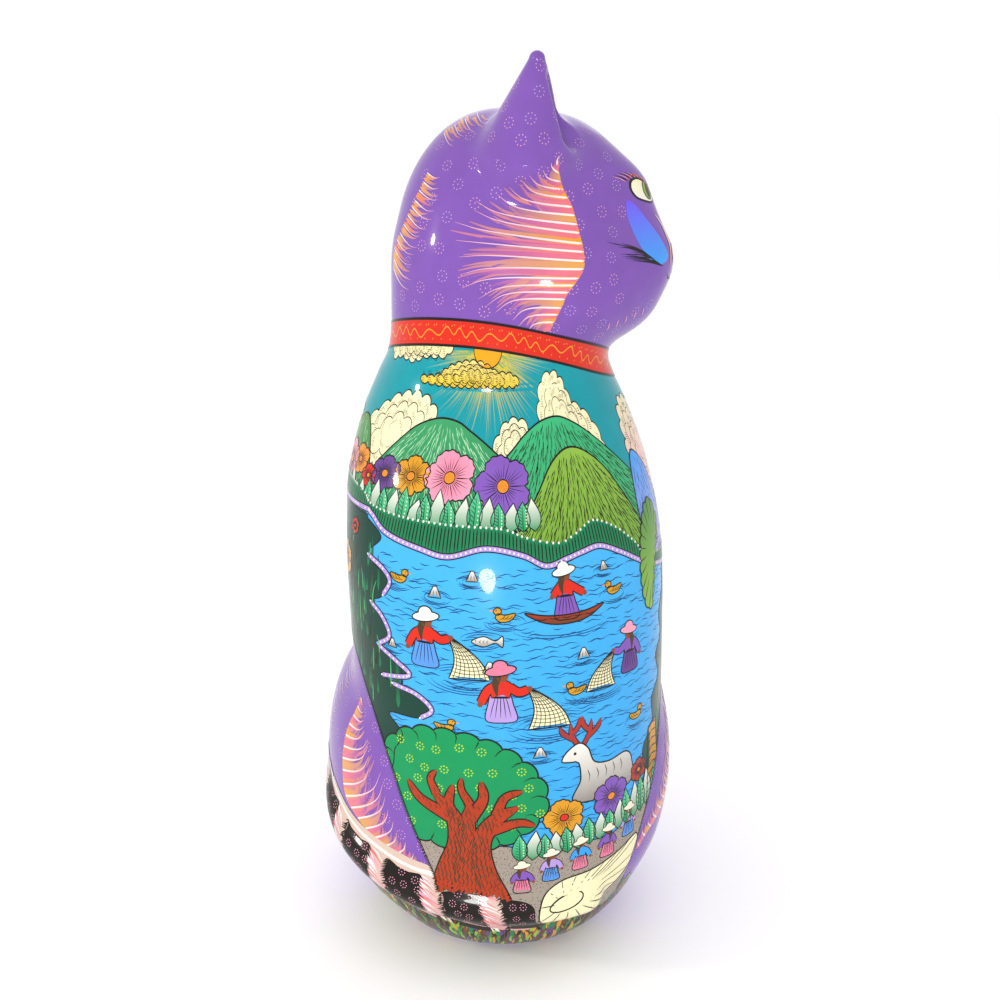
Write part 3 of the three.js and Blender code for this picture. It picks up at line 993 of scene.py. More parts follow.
def paint_lake():
    areas.level = 9
    areas.fill(below(SHORE, LAKE_FOOT), ("deep_lake", "lake"), 2.8)
    lines.level = 10
    for x, z in sprinkle(RIPPLE_AREA, 5.8, 0.45):
        long, phase = rng.uniform(5, 12), rng.uniform(0, 6)
        path = [(x + t * long, z + 0.4 * math.sin(phase + 0.8 * t * long)) for t in np.linspace(0, 1, 11)]
        lines.stroke(path, 0.42, "ink_blue", (0.3, 0.5))


LEFT_BANK = [(-200, 220), (-112, 222), (-100, 220), (-88, 214), (-96, 205), (-80, 197), (-84, 188),
             (-92, 184), (-82, 178), (-78, 170), (-88, 165), (-74, 161), (-66, 156), (-84, 151),
             (-62, 148), (-54, 142), (-60, 136), (-78, 134), (-70, 126), (-74, 118), (-90, 100),
             (-200, 100)]
RIGHT_BANK = [(200, 196), (98, 192), (88, 180), (78, 168), (82, 158), (72, 150), (76, 138), (66, 130),
              (68, 118), (58, 108), (60, 96), (70, 84), (200, 84)]
INLETS = [[(-96, 205), (-84, 201), (-79, 196), (-83, 189)], [(-92, 184), (-83, 179), (-78, 171), (-86, 165)],
          [(-86, 165), (-73, 160), (-66, 155), (-83, 151)], [(-76, 149), (-62, 147), (-54, 141), (-60, 136)]]
REEDS = 900


def paint_sides():
    """Dark planted banks at both sides of the lake, with inlets, reeds and blossoms."""
    left, right = curve(LEFT_BANK, closed=True), curve(RIGHT_BANK, closed=True)
    garden.level = 14
    garden.inked(left, "dark_bank", 0.6)
    for edge in INLETS:
        water_edge(edge)
    garden.inked(right, "dark_bank", 0.6)
    for number in range(REEDS):
        x = rng.uniform(-200, -66) if number % 2 else rng.uniform(64, 200)
        foot = rng.uniform(100, 206) if x < 0 else rng.uniform(88, 182)
        spot = np.array([(x, foot), (x, foot + 9)])
        planted = inside(landscape, spot) & inside(left if x < 0 else right, spot)
        if planted.all() and not (-96 < x < 0 and foot < 134):
            reed(x, foot, number % 5 == 0)
    garden.level = 16
    for x, z, radius, colour in (
        (112, 182, 9, "pink"), (132, 176, 8, "flower_orange"), (152, 182, 9, "flower_purple"),
        (172, 172, 8, "red"), (-124, 196, 9, "flower_orange"), (-146, 190, 9, "pink"),
        (-168, 196, 9, "flower_purple"), (-112, 214, 4, "red"),
    ):
        blossom(garden, (x, z), radius, 6, colour)


def reed(x, foot, bright):
    garden.level = 16 if bright else 15
    rise, lean = rng.uniform(6, 16), rng.uniform(-3, 3)
    path = curve([(x, foot), (x + lean * 0.3, foot + rise * 0.6), (x + lean, foot + rise)])
    if bright:
        fade = ("stem", "leaf_light")
    else:
        fade = (rng.choice(["black", "bank", "umber", "bank"]), "dark_bank")
    garden.stroke(path, 0.9 if bright else rng.uniform(1.0, 3.0), fade, (0.2, 0.8))


PALM = [(84, 222), (74, 220), (64, 208), (60, 194), (61, 182), (66, 176), (70, 184), (76, 200), (86, 212)]


def paint_palm_and_post():
    """A drooping palm leaf and a banded wooden post on the right bank."""
    garden.level = 18
    shape, cusps = scalloped(PALM, 6, 1.6)
    garden.inked(shape, ("olive", "stem"), 0.7)
    garden.level = 19
    for cusp in cusps:
        garden.stroke(curve([cusp, 0.6 * cusp + 0.4 * np.array([74, 202])]), 0.6, "black", (0.1, 0.8))
    garden.level = 16
    garden.inked([(61, 58), (63, 116), (72, 118), (74, 60)], ("brown", "flower_orange"), 0.8)
    garden.level = 17
    for z in np.arange(62, 116, 4):
        garden.stroke([(61.5, z), (67, z + 3), (73, z + 2)], 0.6, "black", (0.2, 0.2))


def rings(middle, radii, count=3):
    """Broken rings of ripples round something that stands in the water."""
    figures.level = 11
    for n in range(count):
        grow = 1 + 0.28 * n
        for start in (rng.uniform(0, 1), rng.uniform(3, 4)):
            angle = np.linspace(start, start + rng.uniform(1.8, 2.6), 12)
            ring = np.stack([radii[0] * grow * np.cos(angle), radii[1] * grow * np.sin(angle)], 1)
            figures.stroke(put(ring, middle), 0.4, "ink_blue", (0.3, 0.3))


DUCK_BODY = [(-4.4, 1.6), (-2.5, -1.4), (1.5, -2.2), (4, -0.4), (3.2, 1.6), (0, 1)]
FISH = [(-8, 2.6), (-5, 0.6), (0, 2.4), (5, 0), (0, -2.2), (-5, -0.4), (-8, -2.4)]


def duck(middle, flip=1):
    def at(points):
        return put(points, middle, 1, flip)

    rings((middle[0], middle[1] - 2.5), (5.6, 2.4))
    for level, shape in ((12, curve(DUCK_BODY, 0.6, closed=True)), (13, oval((3.2, 2.6), (1.7, 1.6), 14))):
        figures.level = level
        figures.inked(at(shape), "duck", 0.5)
    figures.level = 14
    figures.stroke(at([(4.6, 3), (5.6, 2.7), (6.6, 2.9)]), 0.9, "orange", (0, 0.6))
    figures.dots(at([(3.7, 3.1)]), 0.3, "black")
    for x in (-2.2, -0.6, 1.0):
        figures.stroke(at([(x - 1.2, 0.8), (x, -0.6), (x + 1.6, -0.9)]), 0.4, "umber", (0.2, 0.6))


def stone(middle, size=1.0):
    rings((middle[0], middle[1] - 2), (4.8 * size, 2.0 * size))
    figures.level = 12
    cone = curve([(-3, -2), (-0.6, 3), (0.6, 3), (3, -2)], 0.8)
    figures.inked(put(cone, middle, size), ("grey", "white"), 0.45)
    figures.level = 13
    for x in (-1.4, -0.4, 0.8):
        path = [(x, 1.4), (1.3 * x, 0), (1.6 * x, -1.4)]
        figures.stroke(put(path, middle, size), 0.35, "black", (0.2, 0.6))


def fish(middle, flip=1):
    rings(middle, (8, 3.4), 2)
    figures.level = 12
    figures.inked(put(curve(FISH, 0.7, closed=True), middle, 1, flip), ("grey", "white"), 0.5)
    figures.level = 13
    for x in (-2, -0.5, 1):
        figures.stroke(put([(x, 1), (x + 0.6, 0), (x, -1)], middle, 1, flip), 0.35, "black")
    figures.dots(put([(3.2, 0.4)], middle, 1, flip), 0.3, "black")


SKIRT = [(-5, 0), (-4.4, 6), (-2.8, 11), (2.6, 11), (4.4, 6), (5.6, 0), (0, -1)]
BODICE = [(-3, 9), (-3.6, 14), (0, 15.6), (3.6, 14), (3, 9)]
HULL = [(-17, 3), (-9, -1.4), (0, -2.6), (9, -1.4), (17, 3), (9, 1.6), (0, 1), (-9, 1.6)]


def person(middle, hat, shirt, skirt, size=1.0, flip=1, hands=((-7, 6), (10, 12)), level=12):
    """A figure in a wide hat, seen from behind, with its skirt in the water or on the ground."""
    def at(points):
        return put(points, middle, size, flip)

    figures.level = level
    figures.inked(at(curve(SKIRT, 1, closed=True)), skirt, 0.5)
    figures.level = level + 1
    for x in (-2.8, -1.4, 0, 1.4, 2.8):
        figures.stroke(at([(0.6 * x, 9.5), (x, 5), (1.3 * x, 0.8)]), 0.35, "black", (0.2, 0.4))
    chest = curve(BODICE, 0.8)
    figures.stroke(at(chest), 1.0, "black", closed=True)
    for rise, extra, ramp in ((1, 1.0, "black"), (2, 0.0, shirt)):
        figures.level = level + rise
        figures.fill(at(chest), ramp)
        for shoulder, hand in zip((-2.4, 2.4), hands):
            elbow = ((shoulder + hand[0]) / 2, (13 + hand[1]) / 2 - 1.6 * np.sign(hand[1] - 9))
            sleeve = at(curve([(shoulder, 13.4), elbow, hand], 0.8))
            figures.stroke(sleeve, (3.0 + extra) * size, ramp, (0, 0.05))
    figures.level = level + 3
    figures.dots(at(np.array(hands)), 1.1 * size, "face")
    figures.dots(at([(0.6, 17.2)]), 2.3 * size, "face", 10)
    figures.stroke(at(curve([(-0.8, 18.5), (-1.8, 14), (-1.2, 9.5)])), 3.0 * size, "umber", (0.1, 0.6))
    for rise, extra, ramp in ((4, 0.5, "black"), (5, 0.0, hat)):
        figures.level = level + rise
        figures.fill(at(oval((0, 19.2), (5.2 + extra, 1.7 + extra), 20, 0.16)), ramp)
        figures.fill(at(oval((-0.2, 20.8), (2.5 + extra, 2.2 + extra), 16)), ramp)


def net(middle, hand, foot, width, size=1.0, flip=1):
    """A cast net that widens from a hand to the water, with its mesh drawn on it."""
    hand, foot = np.array(hand, float), np.array(foot, float)
    t = np.linspace(0, 1, 12)[:, None]
    spine = hand + (foot - hand) * t + np.array([2.5, 0]) * np.sin(math.pi * t)
    half = width / 2 * (0.08 + 0.92 * t ** 0.8) * np.array([1, 0])
    middle_foot = put([foot], middle, size, flip)[0]
    rings(middle_foot, (0.62 * width * size, 0.22 * width * size), 4)
    figures.level = 12
    outline = np.concatenate([spine - half, (spine + half)[::-1]])
    figures.inked(put(outline, middle, size, flip), "cream", 0.6)
    figures.level = 13
    for share in np.linspace(-0.8, 0.8, 7):
        figures.stroke(put(spine + half * share, middle, size, flip), 0.32, "black", BLUNT)
    for n in range(2, 12):
        bow = np.array([(x, -0.8 * (1 - x * x)) for x in np.linspace(-1, 1, 6)])
        row = spine[n] + bow * (half[n, 0], 1)
        figures.stroke(put(row, middle, size, flip), 0.32, "black", BLUNT)


def canoe(middle, size=1.0, flip=1):
    rings((middle[0], middle[1] - 4), (17 * size, 3.4 * size), 2)
    figures.level = 13
    figures.inked(put(curve(HULL, 1.2, closed=True), middle, size, flip), ("brown", "bark"), 0.6)
    figures.level = 15
    for x in (-10, -5, 0, 5, 10):
        figures.stroke(put([(x - 2.5, 0.4), (x, -0.2), (x + 2.5, 0.3)], middle, size, flip), 0.4, "black")


def paint_lake_figures():
    for middle, hat, shirt, skirt, size, flip in (
        ((-58, 162), "white", "red", "blue_hill", 1.15, 1),
        ((-22, 139), "pink", "red", "lilac", 1.2, 1),
        ((46, 152), "rose", "flower_purple", "plum", 1.0, -1),
    ):
        person(middle, hat, shirt, skirt, size, flip)
        net(middle, (10, 12), (17, -4), 15, size, flip)
    person((10, 184), "white", "red", "flower_purple", 1.05, 1, ((-6, 9), (9, 9)))
    canoe((10, 184), 1.1)
    for x, z, flip in (
        (-74, 199, 1), (38, 192, -1), (-48, 134, 1), (14, 150, -1), (50, 128, 1), (-20, 186, -1),
    ):
        duck((x, z), flip)
    for x, z, size in (
        (-54, 195, 1), (-36, 203, 0.9), (33, 203, 0.8), (-27, 163, 1), (18, 166, 1), (-4, 122, 1),
        (-76, 168, 0.8),
    ):
        stone((x, z), size)
    fish((-30, 175), -1)


DEER = [(16, -6), (17, 5), (13, 10), (4, 9), (-3, 11), (-6, 18), (-10, 21), (-15, 18), (-17, 14),
        (-13, 13), (-10, 12), (-9, 4), (-11, -6)]
DEER_PLACE = (27, 101)


def paint_deer():
    """A pale deer that stands by the water."""
    garden.level = 12
    garden.inked(put(curve(DEER, 1.2, closed=True), DEER_PLACE, 1.1), ("grey", "white"), 0.7)
    for level, extra, ramp in ((10, 1.0, "black"), (11, 0.0, "antler")):
        garden.level = level
        for lean in (-1, 1):
            for branch in (((0, 20), (4 * lean, 27), (5 * lean, 34)),
                           ((3 * lean, 25), (8 * lean, 29), (10 * lean, 33)),
                           ((4 * lean, 28), (lean, 32), (0.6 * lean, 36))):
                path = curve(np.array(branch) - (10, 0), 1)
                garden.stroke(put(path, DEER_PLACE), 2.0 + extra, ramp, (0.05, 0.3))
    garden.level = 14
    garden.dots(put([(-11.6, 16.6)], DEER_PLACE, 1.1), 0.8, "black")
    for x in (-6, -2, 2, 6, 10):
        path = put([(x, 8), (x + 1, 5), (x + 0.6, 2)], DEER_PLACE, 1.1)
        garden.stroke(path, 0.4, "black", (0.2, 0.6))


# Each row: middle line, width at its start, width at its end.
TREE_LIMBS = [
    ([(-52, 40), (-46, 62), (-42, 76), (-44, 90), (-54, 101)], 15, 5),
    ([(-36, 40), (-38, 62), (-38, 80), (-36, 98)], 18, 5),
    ([(-22, 40), (-30, 62), (-31, 78), (-24, 90), (-14, 96)], 15, 5),
    ([(-40, 84), (-46, 95), (-44, 106)], 6, 3),
    ([(-36, 90), (-30, 100), (-31, 109)], 6, 3),
    ([(-46, 90), (-60, 96), (-67, 104)], 6, 2.5),
    ([(-27, 84), (-14, 88), (-6, 86)], 5, 2.5),
    ([(-24, 92), (-20, 101), (-12, 104)], 4.5, 2.5),
    ([(-52, 100), (-55, 107), (-52, 112)], 4, 2),
    ([(-36, 97), (-40, 104), (-40, 110)], 4, 2),
]
TREE_CROWN = [(-90, 96), (-84, 110), (-76, 122), (-62, 130), (-44, 131), (-26, 127), (-12, 118), (-3, 106),
              (-2, 94), (-10, 84), (-24, 77), (-44, 75), (-66, 78), (-84, 84)]


def paint_tree():
    shape, cusps = scalloped(TREE_CROWN, 11, 2.2)
    garden.level = 15
    garden.inked(shape, ("leaf", "tree"), 0.8)
    garden.level = 16
    for cusp in cusps:
        inward = np.array([-44, 102]) - cusp
        path = curve([cusp, cusp + inward * 0.09 + (0.5, 1), cusp + inward * 0.16])
        garden.stroke(path, 0.7, "black", (0.1, 0.8))
    for middle in sprinkle(np.array(TREE_CROWN), 11, 0.22):
        garden.dots(put([*oval((0, 0), (1.7, 1.7), 8), (0, 0)], middle), 0.42, "tree_dot", 6)
    for level, extra, ramp in ((17, 1.4, "black"), (18, 0.0, "bark")):
        garden.level = level
        for path, start, end in TREE_LIMBS:
            spine = curve(path)
            rounding = 1 - np.linspace(0, 0.97, len(spine)) ** 12
            width = (np.linspace(start, end, len(spine)) + extra) * rounding
            garden.ribbon(spine, width / 2, ramp)
    paint_bark()


def paint_bark():
    """Short waves along the trunk and the branches."""
    garden.level = 19
    for path, start, end in TREE_LIMBS:
        spine = curve(path, 4.0)
        for n in range(len(spine) - 1):
            reach = (start + (end - start) * n / len(spine)) / 2 - 1
            for aside in np.arange(-reach, reach + 0.1, 2.0):
                x, z = spine[n] + (aside, rng.uniform(-1.5, 1.5))
                rise = 1.0 if reach < 2.2 or n > len(spine) - 4 else 2.0
                bends = ((0, 0), (0.6, 1), (-0.3, 2), (0.3, 3))
                wave = curve([(x + bend, z + steps * rise) for bend, steps in bends])
                garden.stroke(wave, 0.55, "umber", (0.2, 0.5))


GROUND_TOP = [(-110, 96), (-80, 88), (-50, 80), (-20, 76), (10, 74), (36, 72), (56, 82), (80, 96)]


def paint_ground():
    """Grey ground with a row of leaves, blossoms and small figures."""
    garden.level = 13
    ground = below(GROUND_TOP, 20)
    garden.inked(ground, "ground", 0.5)
    garden.level = 14
    garden.dots(sprinkle(ground, 1.7, 0.5), 0.24, "black", 4)
    for n, x in enumerate(np.arange(-13, 70, 5.8)):
        garden.level = 17
        rise = rng.uniform(13, 16) + 5 * (x > 40)
        foot = 68 + 0.12 * max(x, 0)
        leaf(garden, (x, foot), (x + rng.uniform(-2, 2), foot + rise), 7.4, n)
    for x, z, radius, petals, colour in (
        (8, 88, 9.5, 5, "flower_orange"), (34, 92, 10, 6, "flower_purple"), (54, 98, 6, 6, "antler"),
        (84, 106, 9, 5, "pink"),
    ):
        garden.level = 14
        heart = "red" if colour == "flower_orange" else "orange"
        blossom(garden, (x, z), radius, petals, colour, heart)
    for x, z, flip, shirt in (
        (-12, 51, 1, "flower_purple"), (2, 56, 1, "lilac"), (17, 59, 1, "blue"),
        (33, 61, -1, "flower_purple"), (47, 67, -1, "lilac"),
    ):
        skirt = "blue_hill" if shirt == "lilac" else "pink"
        person((x, z), "straw", shirt, skirt, 0.74, flip, ((-6, 7), (7, 7)), 14)


SHELL = [(-3, 34), (-2, 46), (8, 54), (24, 56), (40, 60), (54, 64), (54, 54), (44, 42), (24, 33), (8, 30)]


def paint_shell():
    """A pale veined leaf that unfolds beside the tail's root."""
    garden.level = 18
    outline = curve(SHELL, closed=True)
    garden.inked(outline, "cream", 0.7)
    garden.level = 19
    hub = np.array([10, 43])
    for x, z in outline[::5]:
        start = hub + (0.45 * (x - hub[0]), 0.35 * (z - hub[1]))
        garden.stroke([start, (start + (x, z)) / 2, (x, z)], 0.45, "black", (0.2, 0.2))
    garden.stroke(oval(hub, (9, 3.4), 20, 0.25), 0.7, "black", closed=True)


paint_sky()
paint_hills()
paint_lake()
paint_flower_row()
paint_bank()
paint_sides()
paint_palm_and_post()
paint_lake_figures()
paint_deer()
paint_ground()
paint_tree()
paint_shell()
lines.level = 19
for edge in (HAUNCH_LINE, mirrored(HAUNCH_LINE)):
    lines.stroke(curve(edge), 1.8, "black", BLUNT)

# The collar.

COLLAR_WIDTH = 11.5
HALF_TURN = math.pi * WRAP_RADIUS

collar = Sheet("collar", round_neck, 9)


def band(sheet, top, bottom, ramp, rows=7, columns=260):
    """A plain strip all the way round."""
    around = np.linspace(-HALF_TURN, HALF_TURN, columns)
    flat = np.array([(x, y) for y in np.linspace(top, bottom, rows) for x in around])
    place = np.stack([(flat[:, 1] - top) / (bottom - top), (flat[:, 0] / HALF_TURN + 1) / 2], 1)
    sheet.add(flat, strips(rows, columns), place, ramp)


def paint_collar():
    band(collar, 0, COLLAR_WIDTH, "red")
    collar.level = 10
    for edge in (0, COLLAR_WIDTH):
        band(collar, edge - 0.6, edge + 0.6, "black", 3)
    collar.level = 11
    x = np.arange(-HALF_TURN, HALF_TURN, 0.7)
    wave = COLLAR_WIDTH / 2 + 1.7 * np.sin(x / 2.2 + 1.4 * np.sin(x / 9)) + 0.9 * np.sin(x / 8.5)
    collar.stroke(np.stack([x, wave], 1), 0.65, "orange", BLUNT)
    for x in np.arange(-HALF_TURN, HALF_TURN, 8.2):
        collar.dots([(x, 2.4), (x + 4.0, 8.8), (x + 6.0, 2.8)], 0.42, "orange")


paint_collar()

# Plumes: fans of fine brush strokes that start on an edge and thin out to curled tips.


# Each row: share of a stroke's length, and share of its curl that is reached there.
CURL = ((0, 0), (0.5, 0.08), (0.8, 0.35), (1, 1))


def fan(sheet, edge, tips, colours, count, width, bends=(0.25, 0.25), white=4):
    """Strokes from points along an edge towards a line of tips, every few of them thin and white."""
    edge, tips = curve(edge, 0.5), curve(tips, 0.5)
    level = sheet.level
    for n in range(count):
        share = min(max((n + rng.uniform(-0.3, 0.3)) / (count - 1), 0), 1)
        start, end = edge[int(share * (len(edge) - 1))], tips[int(share * (len(tips) - 1))]
        along = end - start
        across = np.array([-along[1], along[0]])
        light = n % white == 0
        reach = rng.uniform(0.85, 1.05) if light else rng.uniform(0.45, 1.0)
        curl = bends[0] + (bends[1] - bends[0]) * share
        path = curve([start + t * reach * along + bend * curl * across for t, bend in CURL], 1.2)
        sheet.level = level + (5 if light else n % 5)
        tip = "plume_tip" if n % 2 else "purple"
        ramp = ("white", "rose") if light else (colours[(n // 3) % len(colours)], tip)
        sheet.stroke(path, width * (0.5 if light else 1.6), ramp, (0.0, 0.8))
    sheet.level = level


CHEEK_EDGE = [(27, 32), (30, 22), (34, 14), (37, 4), (39, -4), (39, -10), (37, -14), (32, -21), (30, -26),
              (25, -37)]
CHEEK_TIPS = [(27, 36), (20, 27), (10, 20), (-3, 13), (-13, 9), (-22, 0), (-13, -13), (-4, -18), (6, -25),
              (20, -37)]
NAPE_EDGE = [(-30, 28), (-36, 16), (-42, 4), (-46, -4), (-47, -14)]
NAPE_TIPS = [(-24, 24), (-27, 12), (-33, 0), (-38, -12), (-41, -24)]
CROWN_EDGE = [(-24, 46), (-16, 51), (-8, 55)]
CROWN_TIPS = [(-20, 38), (-12, 43), (-4, 47)]
FACE_MARK = [(58, 16), (62, 14), (67, 8), (72, 2), (76, -4), (78, -9), (76, -12), (71, -11), (67, -7),
             (63, -1), (60, 5), (58, 11)]
PLUME_COLOURS = ("plume_orange", "plume_pink", "sun", "plume_tan", "plume_pink")
NAPE_COLOURS = ("sun", "plume_tan", "plume_orange")


def paint_head_sides():
    sheets = []
    for side, name in ((1, "left"), (-1, "right")):
        cheek = Sheet(name + "_cheek", head_side(side), 1)
        fan(cheek, CHEEK_EDGE, CHEEK_TIPS, PLUME_COLOURS, 120, 1.7, (-0.42, 0.42), 6)
        fan(cheek, NAPE_EDGE, NAPE_TIPS, NAPE_COLOURS, 34, 1.1, (0.3, 0.3), 3)
        fan(cheek, CROWN_EDGE, CROWN_TIPS, ("sun", "plume_tan"), 14, 0.8)
        paint_face_side(cheek)
        sheets.append(cheek)
    return sheets


def paint_face_side(sheet):
    """Blue leaf mark, whiskers and chin ticks of one side of the face."""
    sheet.level = 3
    sheet.fill(curve(FACE_MARK, 1.2, closed=True), ("blue", "violet"), 1.0)
    sheet.level = 5
    for n in range(22):
        start = np.array([66 + 0.45 * n, -5.5 - 0.36 * n])
        long = rng.uniform(7, 19)
        rise = rng.uniform(0.12, 0.5)
        path = curve([start, start + (-0.5 * long, 0.6 * rise * long), start + (-long, rise * long)], 1)
        sheet.stroke(path, 0.42, "black", (0.05, 0.7))
    for n, x in enumerate((50, 54, 58, 62, 66)):
        sheet.stroke([(x, -40 + 1.2 * n), (x + 0.8, -38 + 1.2 * n), (x + 1, -36 + 1.2 * n)], 0.4, "rose")


EYE = [(4, 17), (7, 22), (12, 25), (16.5, 24), (18.5, 20.5), (17, 17), (12, 15), (7, 14.5)]
LID = [(4, 17.4), (9, 24.6), (14, 26.4), (19, 24)]
NOSE_STRIPE = [(9, 9), (6, 4), (6.5, -2), (8.5, -8), (11, -14)]
NOSE = [(-6, -9), (0, -15), (6, -9), (4, -5), (-4, -5)]
MOUTH = [(0, -16), (3, -19), (8, -20), (13, -17)]
LASHES = 12


def paint_face_front():
    front = Sheet("face_front", head_front, 6)
    for side in (1, -1):
        paint_eye(front, side)
    front.level = 7
    front.fill(curve(NOSE, 0.8, closed=True), ("nose", "rose"), step=1.0)
    front.level = 8
    front.stroke([(0, -15), (0, -17), (0, -19)], 0.8, "black", (0, 0.2))
    return front


def paint_eye(front, side):
    """Eye with its lashes, a stripe beside the nose and half of the mouth."""
    def at(points):
        return np.asarray(points, float) * (side, 1)

    front.level = 6
    front.inked(at(curve(EYE, 0.8, closed=True)), ("white", "cream"), 0.9, step=1.0)
    front.level = 8
    front.inked(at(oval((8.6, 19.6), (3.3, 3.9), 20)), ("iris", "olive"), 0.5, step=1.0)
    front.level = 10
    front.fill(at(oval((8.2, 19.6), (1.5, 3.3), 14)), "black", step=1.0)
    for n in range(LASHES):
        start = np.array([7 + 1.1 * n, 23.6 + 1.6 * math.sin(n / 3.6)])
        lash = [start, start + (0.6 + 0.12 * n, 1.6), start + (1.6 + 0.3 * n, 2.6)]
        front.stroke(at(lash), 0.5, "rose" if n % 2 else "black", (0.05, 0.7))
    front.stroke(at(curve(LID, 0.8)), 0.9, "antler", (0.2, 0.5))
    front.stroke(at(curve(NOSE_STRIPE)), 1.3, ("cream", "plume_orange"), (0.3, 0.5))
    front.stroke(at(curve(MOUTH, 0.8)), 0.8, "black", LIFTED)


# Tail, haunches, chest and foot of the cat.

TAIL_PITCH = 28
PATCH = 17
TAIL_FROM, TAIL_TO = 6, 180
TAIL_UNDER = 0.56 * math.pi * TAIL_WIDTH / 2  # how far round the tail its paint goes below
TAIL_OVER = 0.345 * math.pi * TAIL_WIDTH / 2  # and above, where a painted white highlight line ends it


def tail_slant(row):
    """How far the edge of a patch leans at a place round the tail."""
    return 3.0 * np.sin(row / TAIL_UNDER * 1.4)


def paint_tail():
    """Black patches with feathered edges on a pale tail, white and pink feather strokes between, and a
    painted white highlight line along the top.
    """
    tail_sheet = Sheet("tail_bands", round_tail, 8)
    along = np.arange(TAIL_FROM, TAIL_TO + TAIL_WIDTH / 2, 1.6)
    around = np.linspace(-TAIL_UNDER, TAIL_OVER + 1.2, 24)
    rounding = np.sqrt(1 - (np.maximum(along - TAIL_TO, 0) / (TAIL_WIDTH / 2)) ** 2)
    flat = np.array([(a, b * share) for b in around for a, share in zip(along, rounding)])
    place = np.stack([(flat[:, 1] / TAIL_UNDER + 1) / 2, flat[:, 0] / TAIL_TO], 1)
    tail_sheet.add(flat, strips(len(around), len(along)), place, ("tail_pink", "tail_cream"))
    for middle in np.arange(TAIL_FROM + 6, TAIL_TO, TAIL_PITCH):
        tail_patch(tail_sheet, middle)
        for row in np.linspace(-TAIL_UNDER, TAIL_OVER - 0.9, 40):
            tail_feathers(tail_sheet, middle, row)
        tail_sheet.level = 12
        for spot in sprinkle(oval((middle, 0), (PATCH / 2 - 1, TAIL_UNDER - 1), 24), 6.2, 0.15):
            if spot[1] <= TAIL_OVER - 2:
                tail_sheet.dots([*oval(spot, (1.5, 1.5), 8), spot], 0.28, "rose", 5)
    # Painted highlight: a thin white line along the top of the tail, where its glossy ridge would catch the
    # light.
    tail_sheet.stroke([(a, TAIL_OVER) for a in along[along < TAIL_TO]], 0.9, "white", (0.02, 0.02))
    return tail_sheet


def tail_patch(tail_sheet, middle):
    tail_sheet.level = 11
    edge = np.linspace(-TAIL_UNDER, TAIL_OVER - 0.8, 24)
    left, right = (
        np.stack([middle + way * PATCH / 2 + tail_slant(edge) + rng.uniform(-1, 1, 24), edge], 1)
        for way in (-1, 1)
    )
    tail_sheet.fill(np.concatenate([left, right[::-1]]), "black", 1.2)


def tail_feathers(tail_sheet, middle, row):
    """Black strokes at both edges of a patch, and one pale stroke that reaches towards it."""
    slant = tail_slant(row)
    tail_sheet.level = 11
    for way in (-1, 1):
        start = np.array([middle + way * (PATCH / 2 - 1) + slant, row])
        reach = rng.uniform(1.5, 4)
        path = [start, start + (way * reach / 2, -0.3), start + (way * reach, -1.2)]
        tail_sheet.stroke(path, 0.9, "black", (0, 0.9))
    tail_sheet.level = 10
    start = np.array([middle + TAIL_PITCH - PATCH / 2 + slant, row])
    reach = rng.uniform(5, 12)
    path = curve([start, start - (reach / 2, 1.0), start - (reach, 3.4)], 1.2)
    tail_sheet.stroke(path, 0.75, rng.choice(["white", "rose", "white", "plume_pink"]), (0.0, 0.8))


HAUNCH_SPINE = [(-104, 132), (-112, 116), (-114, 104), (-113, 91), (-110, 79), (-101, 73), (-89, 67),
                (-78, 62), (-67, 58), (-58, 53)]
HAUNCH_TIPS = [(-102, 128), (-98, 116), (-90, 108), (-82, 96), (-77, 89), (-75, 82), (-72, 76),
               (-68, 70), (-62, 64), (-55, 57)]
SHOULDER_LINE = [(-122, 146), (-134, 136), (-142, 122), (-146, 106)]


def paint_haunches():
    plumes = Sheet("haunch_plumes", round_body, 2)
    for way in (1, -1):
        bends = (0.3 * way, 0.3 * way)
        flipped = [[(way * x, z) for x, z in path] for path in (HAUNCH_SPINE, HAUNCH_TIPS)]
        fan(plumes, *flipped, PLUME_COLOURS, 110, 1.9, bends, 6)
        ticks = [
            [(way * (x + shift), z - drop) for x, z in SHOULDER_LINE] for shift, drop in ((0, 0), (11, 7))
        ]
        fan(plumes, *ticks, ("plume_pink",), 14, 0.8, bends, 1)
    return plumes


CHEST_SPINE = [(4, 250), (12, 225), (18, 195), (20, 165)]
CHEST_TIPS = [(16, 232), (26, 205), (32, 172), (30, 140)]


def paint_chest():
    """Plainer plumes on the chest, and lines between the toes."""
    chest = Sheet("chest_plumes", from_side(0), 2)
    for way in (1, -1):
        chest.level = 2
        flipped = [[(way * x, z) for x, z in path] for path in (CHEST_SPINE, CHEST_TIPS)]
        fan(chest, *flipped, PLUME_COLOURS, 60, 1.8, (0.3 * way, 0.3 * way), 6)
        chest.level = 3
        for x in (13, 20.5, 28):
            toe = curve([(way * x, 4), (way * x, 12), (way * (x - 0.6), 19)], 1.2)
            chest.stroke(toe, 0.9, "plum", LIFTED)
    return chest


BASE_TOP = 29
BASE_OUTLINE = np.array([(-152, 1), (-150, 8), (-142, 18), (-126, 30), (-100, BASE_TOP + 10),
                         (0, BASE_TOP + 14), (64, BASE_TOP + 6), (64, 1)])
BASE_COLOURS = ["stem", "bank", "flower_orange", "plum", "olive", "black", "black", "brown"]


